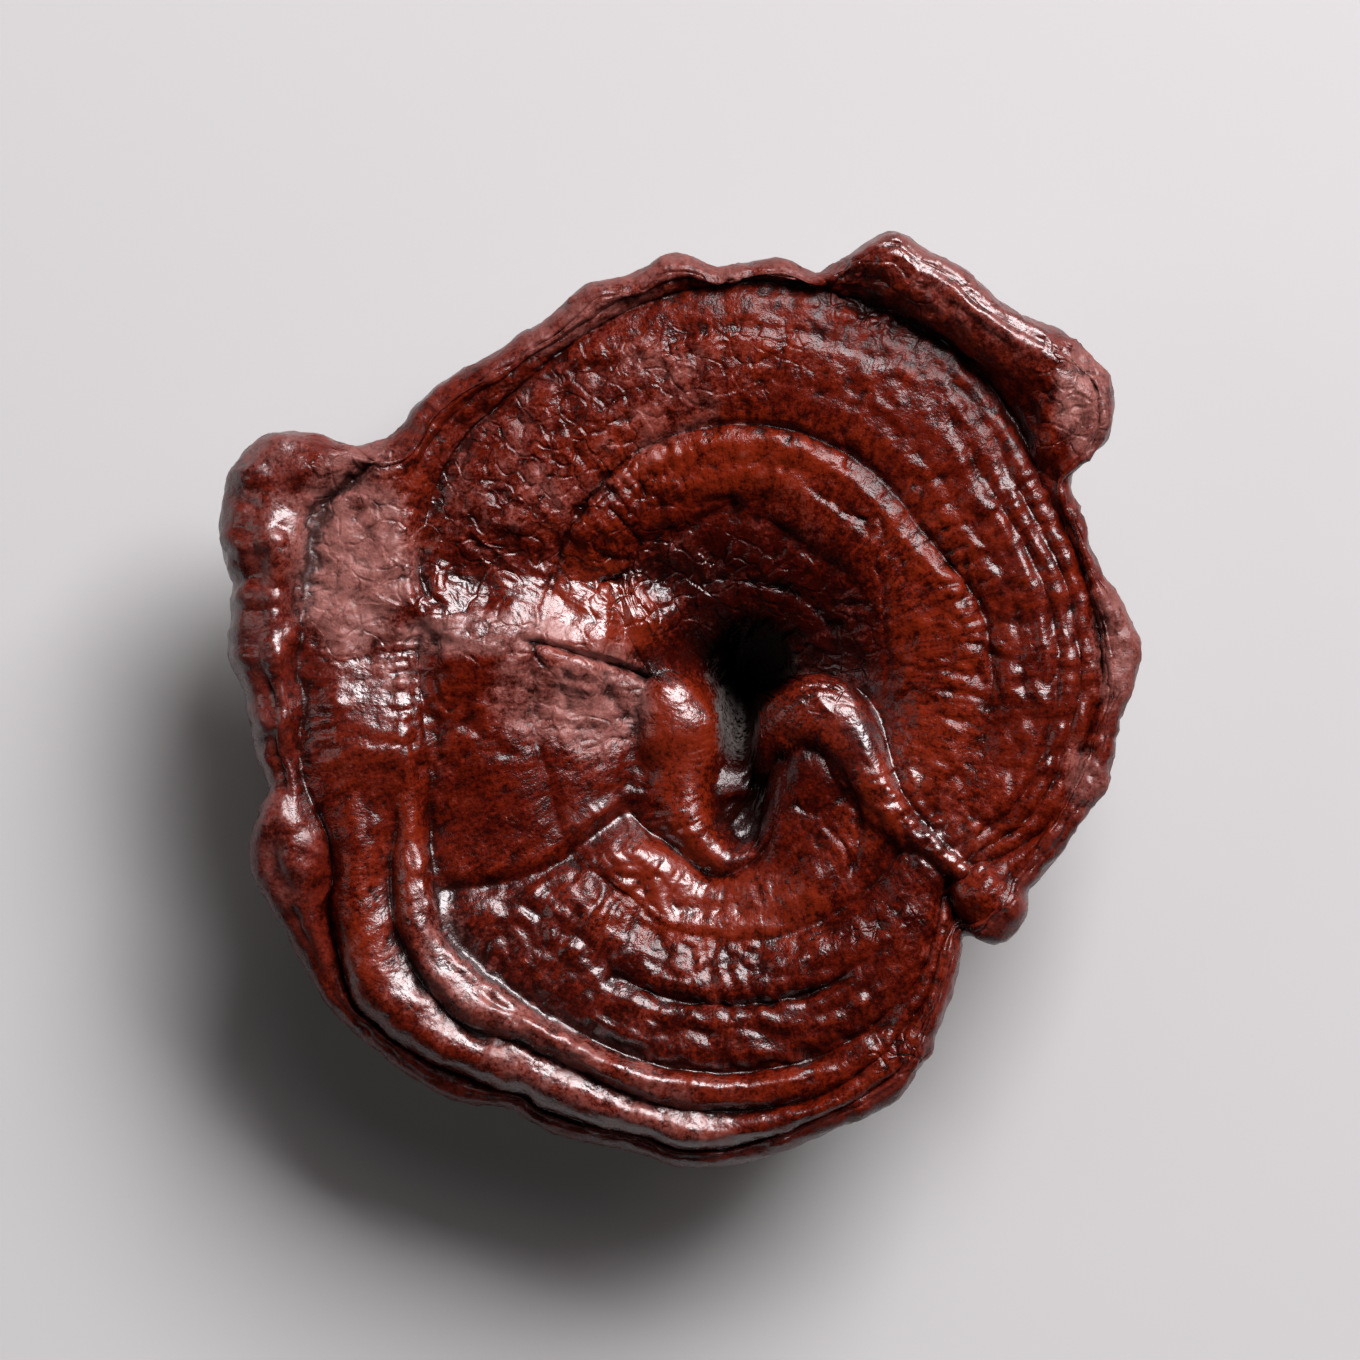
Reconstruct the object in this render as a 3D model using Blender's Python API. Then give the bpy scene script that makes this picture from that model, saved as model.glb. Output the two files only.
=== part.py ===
"""Reishi mushroom: one woody fruiting body, a funnel-shaped cap on a short stem that is cut off flat.

The cap is a closed surface of rings round the pit. From the pit outwards the rings follow the growth
lines: the mouth of the pit, the inner lip, the ring line, the disc groove, the fold groove, the lip
groove and the margin. Between two lines the flesh swells into a roll. Folds, cracks, lobes and knobs are
then raised or sunk along their own paths.

Places on the cap are given in the reference picture's pixels, with x to the right and y down. Lines round
the pit are rows of (angle in degrees, radius in pixels, height in millimetres). Heights are above the cut.
"""

import math

import bpy
import numpy as np

# Driving dimensions, in metres
CAP_WIDTH = 0.1325
STEM_RADIUS = 0.0170
STEM_NECK_HEIGHT = 0.0080
PIT_FLOOR_HEIGHT = 0.0080

MM = 0.001

# The reference picture's frame
CAP_WIDTH_PIXELS = 913.0
PIXEL = CAP_WIDTH / CAP_WIDTH_PIXELS
CAP_CENTRE_PIXELS = (680.3, 700.6)
PIT_PIXELS = (745.0, 690.0)
STEM_CUT_PIXELS = (703.0, 694.0)

# Mesh density: samples round the margin, and rings from each line to the next
SAMPLES_ROUND = 120
RINGS_TO_LINE = (2, 6, 7, 5, 4, 4, 2)
MARGIN_RINGS = 5
UNDERSIDE_RINGS = 4
STEM_RINGS = 2

# Near the pit the samples spiral with the growth, so that they run along the seam of the hook: how far
# they have turned at each line, in degrees
LINE_TURNS = (80.0, 50.0, 16.0, 3.5, 0.0, 0.0, 0.0, 0.0)

# The margin: (angle, radius)
MARGIN = (
    (0, 385), (5.6, 395), (12.2, 384), (18.5, 372), (24.8, 375), (30.5, 380), (33.9, 392), (34.8, 436),
    (37.9, 466), (41.4, 479), (45.8, 478), (51.7, 468), (56.8, 463), (62.8, 473), (68.1, 475), (71.4, 481),
    (73.9, 472), (77.2, 438), (80.3, 422), (85, 431), (93.7, 424), (100.1, 441), (104.7, 430), (110.8, 434),
    (119.4, 419), (128.1, 420), (135, 432), (139.8, 435), (144.1, 433), (147.4, 452), (149.2, 485),
    (151.4, 533), (155, 554), (159.4, 555), (165.8, 533), (170.2, 519), (175.4, 517), (182.3, 495),
    (187.5, 492), (191.3, 485), (196, 512), (201, 526), (207.1, 518), (217, 522), (226.7, 513),
    (234.9, 501), (241.6, 478), (246.1, 482), (255, 473), (262, 480), (270, 473), (280.3, 451),
    (290.2, 436), (298.7, 393), (305.1, 360), (309.8, 336), (311.4, 329), (314.6, 354), (319.1, 362),
    (324.9, 346), (331.4, 353), (339.6, 361), (345.4, 373), (354.9, 372),
)

# The rounding of the margin: (angle, width in pixels, half of its thickness in mm, height of its top in mm)
ROUNDING = (
    (0, 12, 4.0, 35.0), (20, 6, 3.8, 35.0), (33, 14, 4.2, 35.5), (37, 30, 5.8, 37.5), (47, 34, 6.4, 39.0),
    (62, 34, 6.4, 39.5), (72, 28, 6.0, 38.5), (80, 16, 4.8, 36.5), (100, 20, 4.8, 36.5),
    (120, 20, 4.6, 36.2), (142, 22, 4.8, 36.0), (150, 34, 6.0, 36.0), (165, 34, 6.2, 36.2),
    (182, 28, 5.6, 35.8), (191, 20, 4.8, 34.8), (200, 28, 5.6, 35.6), (208, 18, 5.0, 34.0),
    (217, 12, 4.6, 31.8), (240, 11, 4.4, 31.4), (265, 12, 4.4, 31.6), (280, 16, 4.6, 33.0),
    (300, 16, 4.4, 35.0), (311, 12, 4.0, 35.0), (318, 28, 5.4, 36.6), (325, 16, 4.4, 35.4),
    (345, 12, 4.0, 35.2),
)

PIT_MOUTH = (
    (0, 72, 20.0), (30, 92, 20.5), (60, 98, 21.0), (90, 88, 21.0), (120, 66, 20.5), (150, 45, 21.0),
    (180, 34, 22.0), (210, 38, 22.5), (235, 58, 25.0), (252, 82, 27.0), (266, 84, 27.2), (278, 76, 26.5),
    (290, 48, 24.0), (300, 32, 23.0), (330, 26, 22.5), (350, 48, 21.0),
)

INNER_LIP = (
    (12, 146, 31.5), (51, 154, 31.0), (73, 162, 31.0), (93, 187, 31.5), (105, 176, 31.0), (126, 180, 31.0),
    (150, 140, 29.5), (173, 95, 28.0), (182, 99, 29.0), (211, 119, 28.6), (226, 164, 29.0),
    (243, 171, 28.8), (261, 186, 28.4), (271, 171, 28.4), (281, 148, 28.6), (300, 120, 31.0),
    (320, 130, 33.0), (335, 150, 33.0), (356, 145, 32.0),
)

RING_LINE = (
    (0, 245, 34.5), (20, 249, 34.5), (41, 237, 34.3), (52, 246, 34.3), (66, 257, 34.5), (90, 266, 34.8),
    (110, 264, 34.5), (124, 252, 34.2), (137, 241, 33.8), (150, 220, 33.2), (165, 215, 32.6),
    (200, 215, 32.4), (226, 237, 32.6), (238, 236, 32.6), (255, 251, 32.8), (273, 250, 33.0),
    (300, 235, 33.6), (315, 225, 34.2), (331, 226, 34.4), (346, 242, 34.5),
)

DISC_GROOVE = (
    (3, 358, 33.4), (25, 359, 33.4), (34, 362, 33.0), (45, 382, 32.4), (58, 400, 32.4), (74, 407, 32.6),
    (80, 411, 33.4), (101, 402, 33.8), (119, 385, 33.6), (129, 377, 33.4), (137, 378, 33.2),
    (155, 356, 33.0), (168, 330, 33.0), (190, 322, 33.0), (202, 340, 32.8), (213, 370, 33.0),
    (219, 387, 33.0), (242, 383, 33.0), (260, 388, 33.0), (280, 376, 33.0), (292, 356, 33.4),
    (301, 336, 33.8), (309, 303, 34.0), (316, 280, 34.0), (324, 295, 33.8), (330, 315, 33.6),
    (336, 332, 33.4), (353, 347, 33.4),
)

FOLD_GROOVE = (
    (0, 363, 34.6), (20, 361, 34.4), (34, 376, 35.0), (45, 410, 36.2), (60, 430, 36.4), (72, 432, 36.0),
    (80, 415, 35.0), (103, 414, 35.2), (119, 396, 35.0), (137, 400, 35.0), (155, 388, 35.6),
    (165, 362, 35.7), (180, 350, 35.6), (190, 350, 35.4), (200, 370, 34.8), (207, 397, 34.4),
    (214, 420, 34.8), (224, 434, 35.0), (230, 436, 35.0), (237, 417, 35.2), (246, 413, 35.2),
    (260, 421, 35.0), (278, 414, 34.6), (290, 388, 34.5), (300, 356, 34.6), (309, 318, 34.6),
    (316, 305, 34.8), (326, 322, 34.4), (345, 347, 34.4),
)

LIP_GROOVE = (
    (0, 367, 35.0), (20, 364, 35.0), (34, 385, 36.0), (45, 440, 39.0), (60, 440, 39.4), (72, 446, 38.4),
    (80, 420, 36.0), (103, 425, 36.4), (119, 408, 36.2), (137, 412, 35.8), (147, 430, 35.6),
    (157, 458, 33.8), (168, 451, 33.4), (180, 446, 33.4), (191, 452, 33.2), (199, 441, 33.4),
    (204, 450, 33.0), (208, 471, 32.4), (213, 484, 31.6), (220, 503, 31.0), (228, 491, 31.0),
    (237, 472, 30.8), (245, 466, 30.8), (256, 461, 30.8), (265, 465, 31.0), (271, 459, 31.2),
    (280, 434, 32.6), (292, 408, 34.0), (300, 372, 35.0), (311, 318, 35.0), (318, 334, 36.6),
    (326, 330, 35.4), (336, 338, 35.2), (353, 355, 35.0),
)

# The swelling of the flesh between two lines: (angle, height in mm)
PIT_WALL_SWELL = ((0, 0.5), (90, 1.0), (180, 2.5), (230, 2.0), (262, -0.5), (300, 1.5))
INNER_RING_SWELL = (
    (0, 2.6), (60, 3.0), (110, 2.8), (140, 2.4), (160, 1.2), (190, 0.8), (212, 0.8), (228, 1.2), (255, 1.4),
    (285, 1.6), (310, 1.4), (330, 1.6),
)
DISC_SWELL = (
    (0, 2.0), (45, 2.0), (90, 2.2), (135, 1.8), (155, 1.4), (185, 1.8), (208, 1.8), (222, 1.4), (260, 2.0),
    (300, 2.2), (320, 1.6), (345, 1.8),
)
FIRST_FOLD_SWELL = (
    (0, 0.5), (34, 0.3), (70, 0.3), (90, 0.6), (140, 0.8), (160, 0.5), (190, 0.8), (205, 2.4), (216, 3.8),
    (265, 3.6), (282, 2.2), (300, 1.0), (330, 0.5),
)
SECOND_FOLD_SWELL = (
    (0, 0.3), (34, 0.6), (50, 1.6), (72, 1.2), (90, 0.6), (140, 0.8), (160, 0.8), (190, 1.2), (205, 3.2),
    (216, 4.2), (262, 3.9), (276, 3.0), (292, 1.2), (330, 0.3),
)
MARGIN_SWELL = (
    (0, 0.2), (45, 0.4), (90, 0.3), (145, 0.6), (155, 2.0), (180, 2.0), (191, 1.2), (200, 2.6), (208, 1.4),
    (216, 0.6), (275, 0.5), (300, 0.2), (318, 0.8), (330, 0.2),
)

SWELLS = (
    None, PIT_WALL_SWELL, INNER_RING_SWELL, DISC_SWELL, FIRST_FOLD_SWELL, SECOND_FOLD_SWELL, MARGIN_SWELL,
)
SWELL_SHARPNESS = (1.0, 1.0, 0.7, 0.7, 0.7, 0.7, 0.8)
SWELL_SKEW = (1.0, 1.0, 1.0, 1.0, 1.0, 1.6, 1.0)

# Rolls and knobs that lie on the cap: (name, depth in mm, width in mm over which the foot blends in, path of
# rows with picture x and y, then the height of the crest and the width to its left and to its right in mm)
ROLLS = (
    ("hook", 5.5, 0.8, (
        (768, 768, 27.5, 1.7, 1.0), (772, 742, 31.0, 2.3, 3.0), (783, 720, 33.8, 3.2, 5.0),
        (803, 706, 35.6, 4.0, 5.8), (828, 707, 36.5, 4.4, 6.8), (846, 724, 36.9, 4.5, 6.8),
        (862, 752, 37.2, 3.8, 6.2), (880, 786, 37.3, 2.9, 5.6), (901, 815, 37.2, 1.9, 5.0),
        (928, 840, 37.0, 1.5, 4.0), (960, 868, 36.5, 1.4, 2.6))),
    ("hook_body", 6.0, 1.2, (
        (806, 735, 33.6, 3.8, 3.8), (814, 760, 34.3, 5.0, 5.4), (820, 785, 34.3, 5.6, 6.4),
        (820, 812, 34.0, 5.8, 6.8), (808, 842, 33.4, 7.0, 6.2), (782, 872, 32.8, 6.6, 4.8),
        (748, 890, 32.2, 6.4, 3.6), (712, 892, 31.2, 6.0, 3.0))),
    ("tongue", 5.0, 0.7, (
        (662, 716, 31.8, 6.6, 2.8), (672, 738, 32.0, 7.8, 4.2), (678, 764, 31.0, 6.4, 5.4),
        (684, 792, 29.8, 3.0, 6.0), (698, 822, 29.0, 2.0, 6.0), (718, 842, 28.6, 1.8, 5.0),
        (742, 850, 28.2, 1.8, 3.0))),
    ("left_spindle", 4.5, 0.5, (
        (276, 806, 36.4, 3.6, 4.6), (290, 826, 37.2, 3.6, 4.6), (298, 850, 36.6, 3.6, 4.6))),
    ("right_knob", 5.0, 0.5, ((984, 894, 37.6, 4.9, 4.9), (994, 904, 37.4, 4.9, 4.9))),
)

# Folds and cracks: (name, height in mm at the start and at the end of the path, width to the left and to
# the right in mm, path)
FOLDS = (
    ("hook_crease", -1.8, -0.6, 0.8, 1.0, (
        (756, 775), (770, 769), (780, 759), (790, 751), (803, 748), (817, 751), (830, 759), (842, 770))),
    ("body_crease", -1.0, -0.8, 0.9, 0.9, ((846, 766), (856, 790), (860, 820), (857, 850), (850, 874))),
    ("pool", -4.4, -4.0, 3.0, 3.0, ((744, 800), (750, 826))),
    ("slit", -4.0, -3.0, 1.8, 1.8, ((733, 680), (738, 720), (744, 756))),
    ("valley", -1.2, -1.8, 4.0, 4.0, ((440, 574), (500, 568), (570, 562), (630, 574))),
    ("crack_swell", 1.6, 3.0, 6.5, 6.0, ((440, 640), (500, 646), (560, 656), (606, 668))),
    ("left_crack", -1.6, -2.2, 1.0, 1.0, (
        (454, 627), (500, 644), (552, 649), (598, 661), (634, 672), (652, 680))),
    ("panel_fold", -1.2, -1.8, 1.2, 2.0, (
        (437, 887), (471, 887), (522, 878), (560, 862), (600, 831), (629, 809))),
    ("edge_ridge", 0.2, 1.0, 1.6, 1.6, ((408, 600), (404, 690), (404, 760), (412, 830), (420, 880))),
    ("outer_lip", -1.0, -1.0, 1.0, 1.0, (
        (292, 440), (252, 482), (244, 530), (243, 600), (243, 660), (250, 708))),
    ("inner_bulge", 0.8, 0.8, 3.4, 3.4, (
        (628, 836), (656, 866), (700, 898), (750, 912), (798, 896), (824, 862))),
    ("first_ridge", 1.4, 1.2, 1.2, 1.2, (
        (424, 850), (430, 892), (440, 926), (458, 955), (484, 980), (520, 1008), (566, 1038), (614, 1062),
        (664, 1076), (726, 1082), (780, 1077), (822, 1066))),
    ("third_crease", -0.9, -0.9, 1.2, 1.2, (
        (600, 968), (628, 986), (664, 999), (700, 1003), (750, 1004), (800, 998), (846, 978))),
    ("knob_notch", -2.4, -2.0, 1.6, 1.6, ((948, 890), (958, 914), (962, 938))),
    ("lobe_crest", 1.6, 1.6, 3.0, 3.0, (
        (846, 266), (886, 256), (928, 272), (968, 292), (1008, 320), (1044, 348), (1066, 394), (1070, 430))),
)

# Cap and stem materials: (name, colour, roughness)
LACQUER = ("reishi_lacquer", (0.115, 0.014, 0.008), 0.32)
PORES = ("pore_surface", (0.42, 0.27, 0.14), 0.75)
CUT_WOOD = ("cut_stem", (0.23, 0.12, 0.06), 0.80)


def turned(rows, angles, column=1):
    """A closed curve through rows that start with an angle, without overshoot, read at the angles."""
    known = np.array([row[0] for row in rows], float)
    value = np.array([row[column] for row in rows], float)
    known = np.concatenate((known[-2:] - 360.0, known, known[:2] + 360.0))
    value = np.concatenate((value[-2:], value, value[:2]))
    span = np.diff(known)
    rise = np.diff(value) / span
    slope = np.zeros_like(value)
    same_way = rise[:-1] * rise[1:] > 0.0
    harmonic = 2.0 * rise[:-1] * rise[1:] / np.where(same_way, rise[:-1] + rise[1:], 1.0)
    slope[1:-1] = np.where(same_way, harmonic, 0.0)
    place = np.clip(np.searchsorted(known, angles, side="right") - 1, 0, len(span) - 1)
    t = (angles - known[place]) / span[place]
    ease = t * t * (3.0 - 2.0 * t)
    bend = t * (1.0 - t) * span[place] * ((1.0 - t) * slope[place] - t * slope[place + 1])
    return value[place] * (1.0 - ease) + value[place + 1] * ease + bend


def metres(path):
    """Picture points as metres in the object's frame."""
    return (np.array(path, float) - CAP_CENTRE_PIXELS) * (PIXEL, -PIXEL)


def smooth_path(points, steps=5):
    """A Catmull-Rom curve through the points."""
    ends = np.vstack((2 * points[0] - points[1], points, 2 * points[-1] - points[-2]))
    curve = []
    for before, start, end, after in zip(ends, ends[1:], ends[2:], ends[3:]):
        for t in np.arange(steps) / steps:
            curve.append(0.5 * (
                2 * start + (end - before) * t + (2 * before - 5 * start + 4 * end - after) * t ** 2
                + (3 * start - before - 3 * end + after) * t ** 3))
    curve.append(points[-1])
    return np.array(curve)


def beside_path(x, y, curve):
    """The distance to a curve, the side (1 on its left, -1 on its right) and how far along it, 0 to 1."""
    nearest = np.full(x.shape, np.inf)
    side = np.zeros(x.shape)
    along = np.zeros(x.shape)
    pieces = len(curve) - 1
    for index in range(pieces):
        start, step = curve[index], curve[index + 1] - curve[index]
        t = np.clip(((x - start[0]) * step[0] + (y - start[1]) * step[1]) / (step @ step), 0.0, 1.0)
        dx = x - start[0] - t * step[0]
        dy = y - start[1] - t * step[1]
        distance = np.hypot(dx, dy)
        closer = distance < nearest
        nearest = np.where(closer, distance, nearest)
        side = np.where(
            closer, (step[0] * dy - step[1] * dx) / np.maximum(distance * np.hypot(*step), 1e-12), side)
        along = np.where(closer, (index + t) / pieces, along)
    return nearest, side, along


def fold_height(x, y, start_height, end_height, left, right, path):
    """The height that one fold adds: a rounded ridge or groove that runs out at its two ends."""
    distance, side, along = beside_path(x, y, smooth_path(metres(path)))
    width = (0.5 * (left + right) + 0.5 * (left - right) * side) * MM
    height = (start_height + (end_height - start_height) * along) * MM
    ends = np.clip(np.minimum(along, 1.0 - along) / 0.12 + 0.35, 0.0, 1.0)
    return height * ends * np.exp(-(distance / width) ** 2)


def with_roll(x, y, height, depth, blend, path):
    """The height with one roll laid over it: half an ellipse across its path, its foot blended in."""
    rows = smooth_path(np.array(path, float))
    distance, side, along = beside_path(x, y, metres(rows[:, :2]))
    crest, left, right = (
        np.interp(along, np.linspace(0.0, 1.0, len(rows)), rows[:, column]) * MM for column in (2, 3, 4))
    across = np.minimum(distance / (0.5 * (left + right) + 0.5 * (left - right) * side), 1.0)
    roll = crest - depth * MM * (1.0 - np.sqrt(1.0 - across ** 2))
    overlap = np.maximum(1.0 - np.abs(roll - height) / (blend * MM), 0.0)
    laid = np.maximum(height, roll) + overlap ** 2 * blend * MM / 4.0
    return np.where(across < 1.0, laid, height)


def margin_angles():
    """Angles round the pit that are evenly spaced along the margin."""
    angles = np.linspace(0.0, 360.0, 1441)
    radius = turned(MARGIN, angles % 360.0)
    x = radius * np.cos(np.radians(angles))
    y = radius * np.sin(np.radians(angles))
    length = np.concatenate(([0.0], np.cumsum(np.hypot(np.diff(x), np.diff(y)))))
    return np.interp(np.arange(SAMPLES_ROUND) * length[-1] / SAMPLES_ROUND, length, angles)


def top_rings(angles, margin, rounding):
    """Angle, radius and height of each ring from the pit floor out to where the margin starts to round."""
    edge = margin - rounding
    inner = [
        (turned(line, (angles + turn) % 360.0) * PIXEL, turned(line, (angles + turn) % 360.0, 2) * MM)
        for line, turn in zip((PIT_MOUTH, INNER_LIP, RING_LINE), LINE_TURNS[1:])]
    groove = turned(DISC_GROOVE, angles) * PIXEL
    roll = edge - groove
    lip = np.clip(turned(LIP_GROOVE, angles) * PIXEL, groove + 0.3 * roll, edge - 0.05 * roll)
    inner_roll = lip - groove
    fold = np.clip(turned(FOLD_GROOVE, angles) * PIXEL, groove + 0.1 * inner_roll, lip - 0.1 * inner_roll)
    outer = [
        (groove, turned(DISC_GROOVE, angles, 2) * MM), (fold, turned(FOLD_GROOVE, angles, 2) * MM),
        (lip, turned(LIP_GROOVE, angles, 2) * MM), (edge, turned(ROUNDING, angles, 3) * MM)]
    lines = [(np.zeros_like(angles), np.full_like(angles, PIT_FLOOR_HEIGHT))] + inner + outer
    rings = []
    for index, count in enumerate(RINGS_TO_LINE):
        for step in range(1, count + 1):
            t = step / count
            turn = angles + LINE_TURNS[index] * (1.0 - t) + LINE_TURNS[index + 1] * t
            swell = 0.0 if SWELLS[index] is None else turned(SWELLS[index], turn % 360.0) * MM
            rise = t ** SWELL_SKEW[index]
            bulge = swell * (4.0 * rise * (1.0 - rise)) ** SWELL_SHARPNESS[index]
            radius = lines[index][0] * (1.0 - t) + lines[index + 1][0] * t
            height = lines[index][1] * (1.0 - t) + lines[index + 1][1] * t + bulge
            rings.append((turn, radius, height))
    return rings


def stem_radius(angles):
    """The stem's slightly lumpy outline."""
    turn = np.radians(angles)
    return STEM_RADIUS * (1.0 + 0.05 * np.cos(2 * turn + 0.6) + 0.03 * np.cos(3 * turn - 1.1))


def lower_rings(angles, margin, rounding, half, top):
    """Rings round the margin, in under the cap and down the stem: radius, height and share of the lean."""
    edge = margin - rounding
    rings = []
    for step in range(1, MARGIN_RINGS + 1):
        turn = math.pi * step / MARGIN_RINGS
        rings.append((edge + rounding * math.sin(turn) ** 0.85, top - half * (1.0 - math.cos(turn)), 0.0))
    below = top - 2.0 * half
    stem = stem_radius(angles)
    for step in range(1, UNDERSIDE_RINGS + 1):
        t = step / UNDERSIDE_RINGS
        weights = ((1 - t) ** 3, 3 * t * (1 - t) ** 2, 3 * t * t * (1 - t), t ** 3)
        radius = (
            weights[0] * edge + weights[1] * (0.42 * edge + 0.58 * stem) + (weights[2] + weights[3]) * stem)
        height = (
            weights[0] * below + weights[1] * (below - 3.0 * MM) + weights[2] * 20.0 * MM
            + weights[3] * STEM_NECK_HEIGHT)
        rings.append((radius, height, 0.6 * t * t))
    for step in range(1, STEM_RINGS + 1):
        t = step / STEM_RINGS
        level = np.full_like(angles, STEM_NECK_HEIGHT * (1.0 - t))
        rings.append((stem * (1.0 - 0.02 * t), level, 0.6 + 0.4 * t))
    return rings


def ring_points(centre, angles, radius, height):
    turn = np.radians(angles)
    return np.stack((centre[0] + radius * np.cos(turn), centre[1] + radius * np.sin(turn), height), axis=1)


def cap_surface():
    """Ring by ring, the points of the whole surface as an array of rings, samples and x, y, z."""
    angles = margin_angles()
    margin = turned(MARGIN, angles) * PIXEL
    rounding = turned(ROUNDING, angles) * PIXEL
    half = turned(ROUNDING, angles, 2) * MM
    top = turned(ROUNDING, angles, 3) * MM
    pit, cut = metres((PIT_PIXELS, STEM_CUT_PIXELS))
    upper = top_rings(angles, margin, rounding)
    rings = [ring_points(pit, *ring) for ring in upper]
    for radius, height, lean in lower_rings(angles, margin, rounding, half, top):
        rings.append(ring_points(pit + (cut - pit) * lean, angles, radius, height))
    surface = np.array(rings)
    raised = surface[:len(upper)]
    before = raised[:, :, 2].copy()
    x, y = raised[:, :, 0], raised[:, :, 1]
    for _, *shape in FOLDS:
        raised[:, :, 2] += fold_height(x, y, *shape)
    for _, *shape in ROLLS:
        raised[:, :, 2] = with_roll(x, y, raised[:, :, 2], *shape)
    lift = raised[:, :, 2] - before
    for step in range(MARGIN_RINGS - 1):
        surface[len(upper) + step, :, 2] += lift[-1] * (1.0 - (step + 1) / MARGIN_RINGS)
    return surface, len(upper)


def surface_faces(ring_count):
    """Faces that join the rings, with a fan at the pit floor and one at the stem's cut."""
    faces = []
    around = [(index, (index + 1) % SAMPLES_ROUND) for index in range(SAMPLES_ROUND)]
    for index, following in around:
        faces.append((0, 1 + index, 1 + following))
    for ring in range(ring_count - 1):
        inner = 1 + ring * SAMPLES_ROUND
        outer = inner + SAMPLES_ROUND
        for index, following in around:
            faces.append((inner + index, outer + index, outer + following, inner + following))
    last = 1 + (ring_count - 1) * SAMPLES_ROUND
    faces.append(tuple(last + index for index, _ in reversed(around)))
    return faces


def finish(name, colour, roughness):
    material = bpy.data.materials.new(name)
    material.use_nodes = True
    shader = material.node_tree.nodes["Principled BSDF"]
    shader.inputs["Base Color"].default_value = (*colour, 1.0)
    shader.inputs["Roughness"].default_value = roughness
    shader.inputs["Metallic"].default_value = 0.0
    return material


def make_mushroom():
    surface, top_count = cap_surface()
    pit = metres((PIT_PIXELS,))[0]
    points = [(pit[0], pit[1], PIT_FLOOR_HEIGHT)] + [tuple(point) for point in surface.reshape(-1, 3)]
    mesh = bpy.data.meshes.new("reishi_mushroom")
    mesh.from_pydata(points, [], surface_faces(len(surface)))
    for look in (LACQUER, PORES, CUT_WOOD):
        mesh.materials.append(finish(*look))
    first_pore_face = SAMPLES_ROUND * (top_count + MARGIN_RINGS)
    for polygon in mesh.polygons:
        polygon.material_index = 1 if polygon.index >= first_pore_face else 0
    mesh.polygons[len(mesh.polygons) - 1].material_index = 2
    mesh.shade_smooth()
    mesh.set_sharp_from_angle(angle=math.radians(70.0))
    mushroom = bpy.data.objects.new("reishi_mushroom", mesh)
    bpy.context.collection.objects.link(mushroom)
    return mushroom


def main():
    for thing in list(bpy.data.objects):
        bpy.data.objects.remove(thing, do_unlink=True)
    make_mushroom()


main()
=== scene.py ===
"""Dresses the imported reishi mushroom: fine surface, lacquer, a plain pale floor, soft light and a camera."""
import math
from itertools import product
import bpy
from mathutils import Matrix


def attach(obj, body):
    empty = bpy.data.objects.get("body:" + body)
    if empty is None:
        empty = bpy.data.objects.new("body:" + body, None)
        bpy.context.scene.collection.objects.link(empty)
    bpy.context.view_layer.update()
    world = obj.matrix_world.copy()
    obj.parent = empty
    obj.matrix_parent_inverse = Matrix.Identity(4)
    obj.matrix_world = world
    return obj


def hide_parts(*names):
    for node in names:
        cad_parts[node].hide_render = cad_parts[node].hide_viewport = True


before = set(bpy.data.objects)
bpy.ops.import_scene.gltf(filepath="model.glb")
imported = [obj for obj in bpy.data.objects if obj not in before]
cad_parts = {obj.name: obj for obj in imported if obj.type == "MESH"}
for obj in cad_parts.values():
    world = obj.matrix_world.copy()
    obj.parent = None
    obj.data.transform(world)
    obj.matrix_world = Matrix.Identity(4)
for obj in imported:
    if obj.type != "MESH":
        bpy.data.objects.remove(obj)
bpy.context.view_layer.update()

from types import SimpleNamespace

import bpy
import numpy as np
from bpy.props import FloatProperty, FloatVectorProperty, IntProperty, PointerProperty
from bpy.types import Operator, Panel, PropertyGroup
from mathutils import Vector

bl_info = {
    "name": "Reishi Mushroom",
    "version": (1, 0, 0),
    "blender": (4, 5, 0),
    "location": "3D View > Sidebar > Reishi",
    "description": "Grows a lacquered reishi mushroom with folds, cracks and pores on a soft-lit floor",
    "category": "Add Mesh",
}

NODE = "reishi_mushroom"
MM = 0.001

# The reference picture's frame. Places on the cap are given in its pixels, x to the right and y down.
CAP_WIDTH = 0.1325
CAP_WIDTH_PIXELS = 913.0
PIXEL = CAP_WIDTH / CAP_WIDTH_PIXELS
PICTURE_PIXELS = 1360
CAP_CENTRE_PIXELS = (680.3, 700.6)
PIT_PIXELS = (745.0, 690.0)
STEM_CUT_PIXELS = (703.0, 694.0)

STEM_RADIUS = 0.0170
STEM_NECK_HEIGHT = 0.0080
PIT_FLOOR_HEIGHT = 0.0080

# How far the underside sags inside the margin, and the height at which it turns down into the stem
UNDERSIDE_SAG = 0.0030
UNDERSIDE_TURN_HEIGHT = 0.0200

# Rings from each growth line to the next, from the pit's floor to the margin's rounding
RINGS_TO_LINE = (8, 18, 31, 32, 17, 17, 13)
# Rings round the margin, under the cap, down the stem and on its cut
MARGIN_RINGS = 14
UNDERSIDE_RINGS = 10
STEM_RINGS = 3
CUT_RINGS = 4

# How far the samples have turned about the pit at each growth line, in degrees, to follow the hook's seam
LINE_TURNS = (80.0, 50.0, 16.0, 3.5, 0.0, 0.0, 0.0, 0.0)

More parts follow.
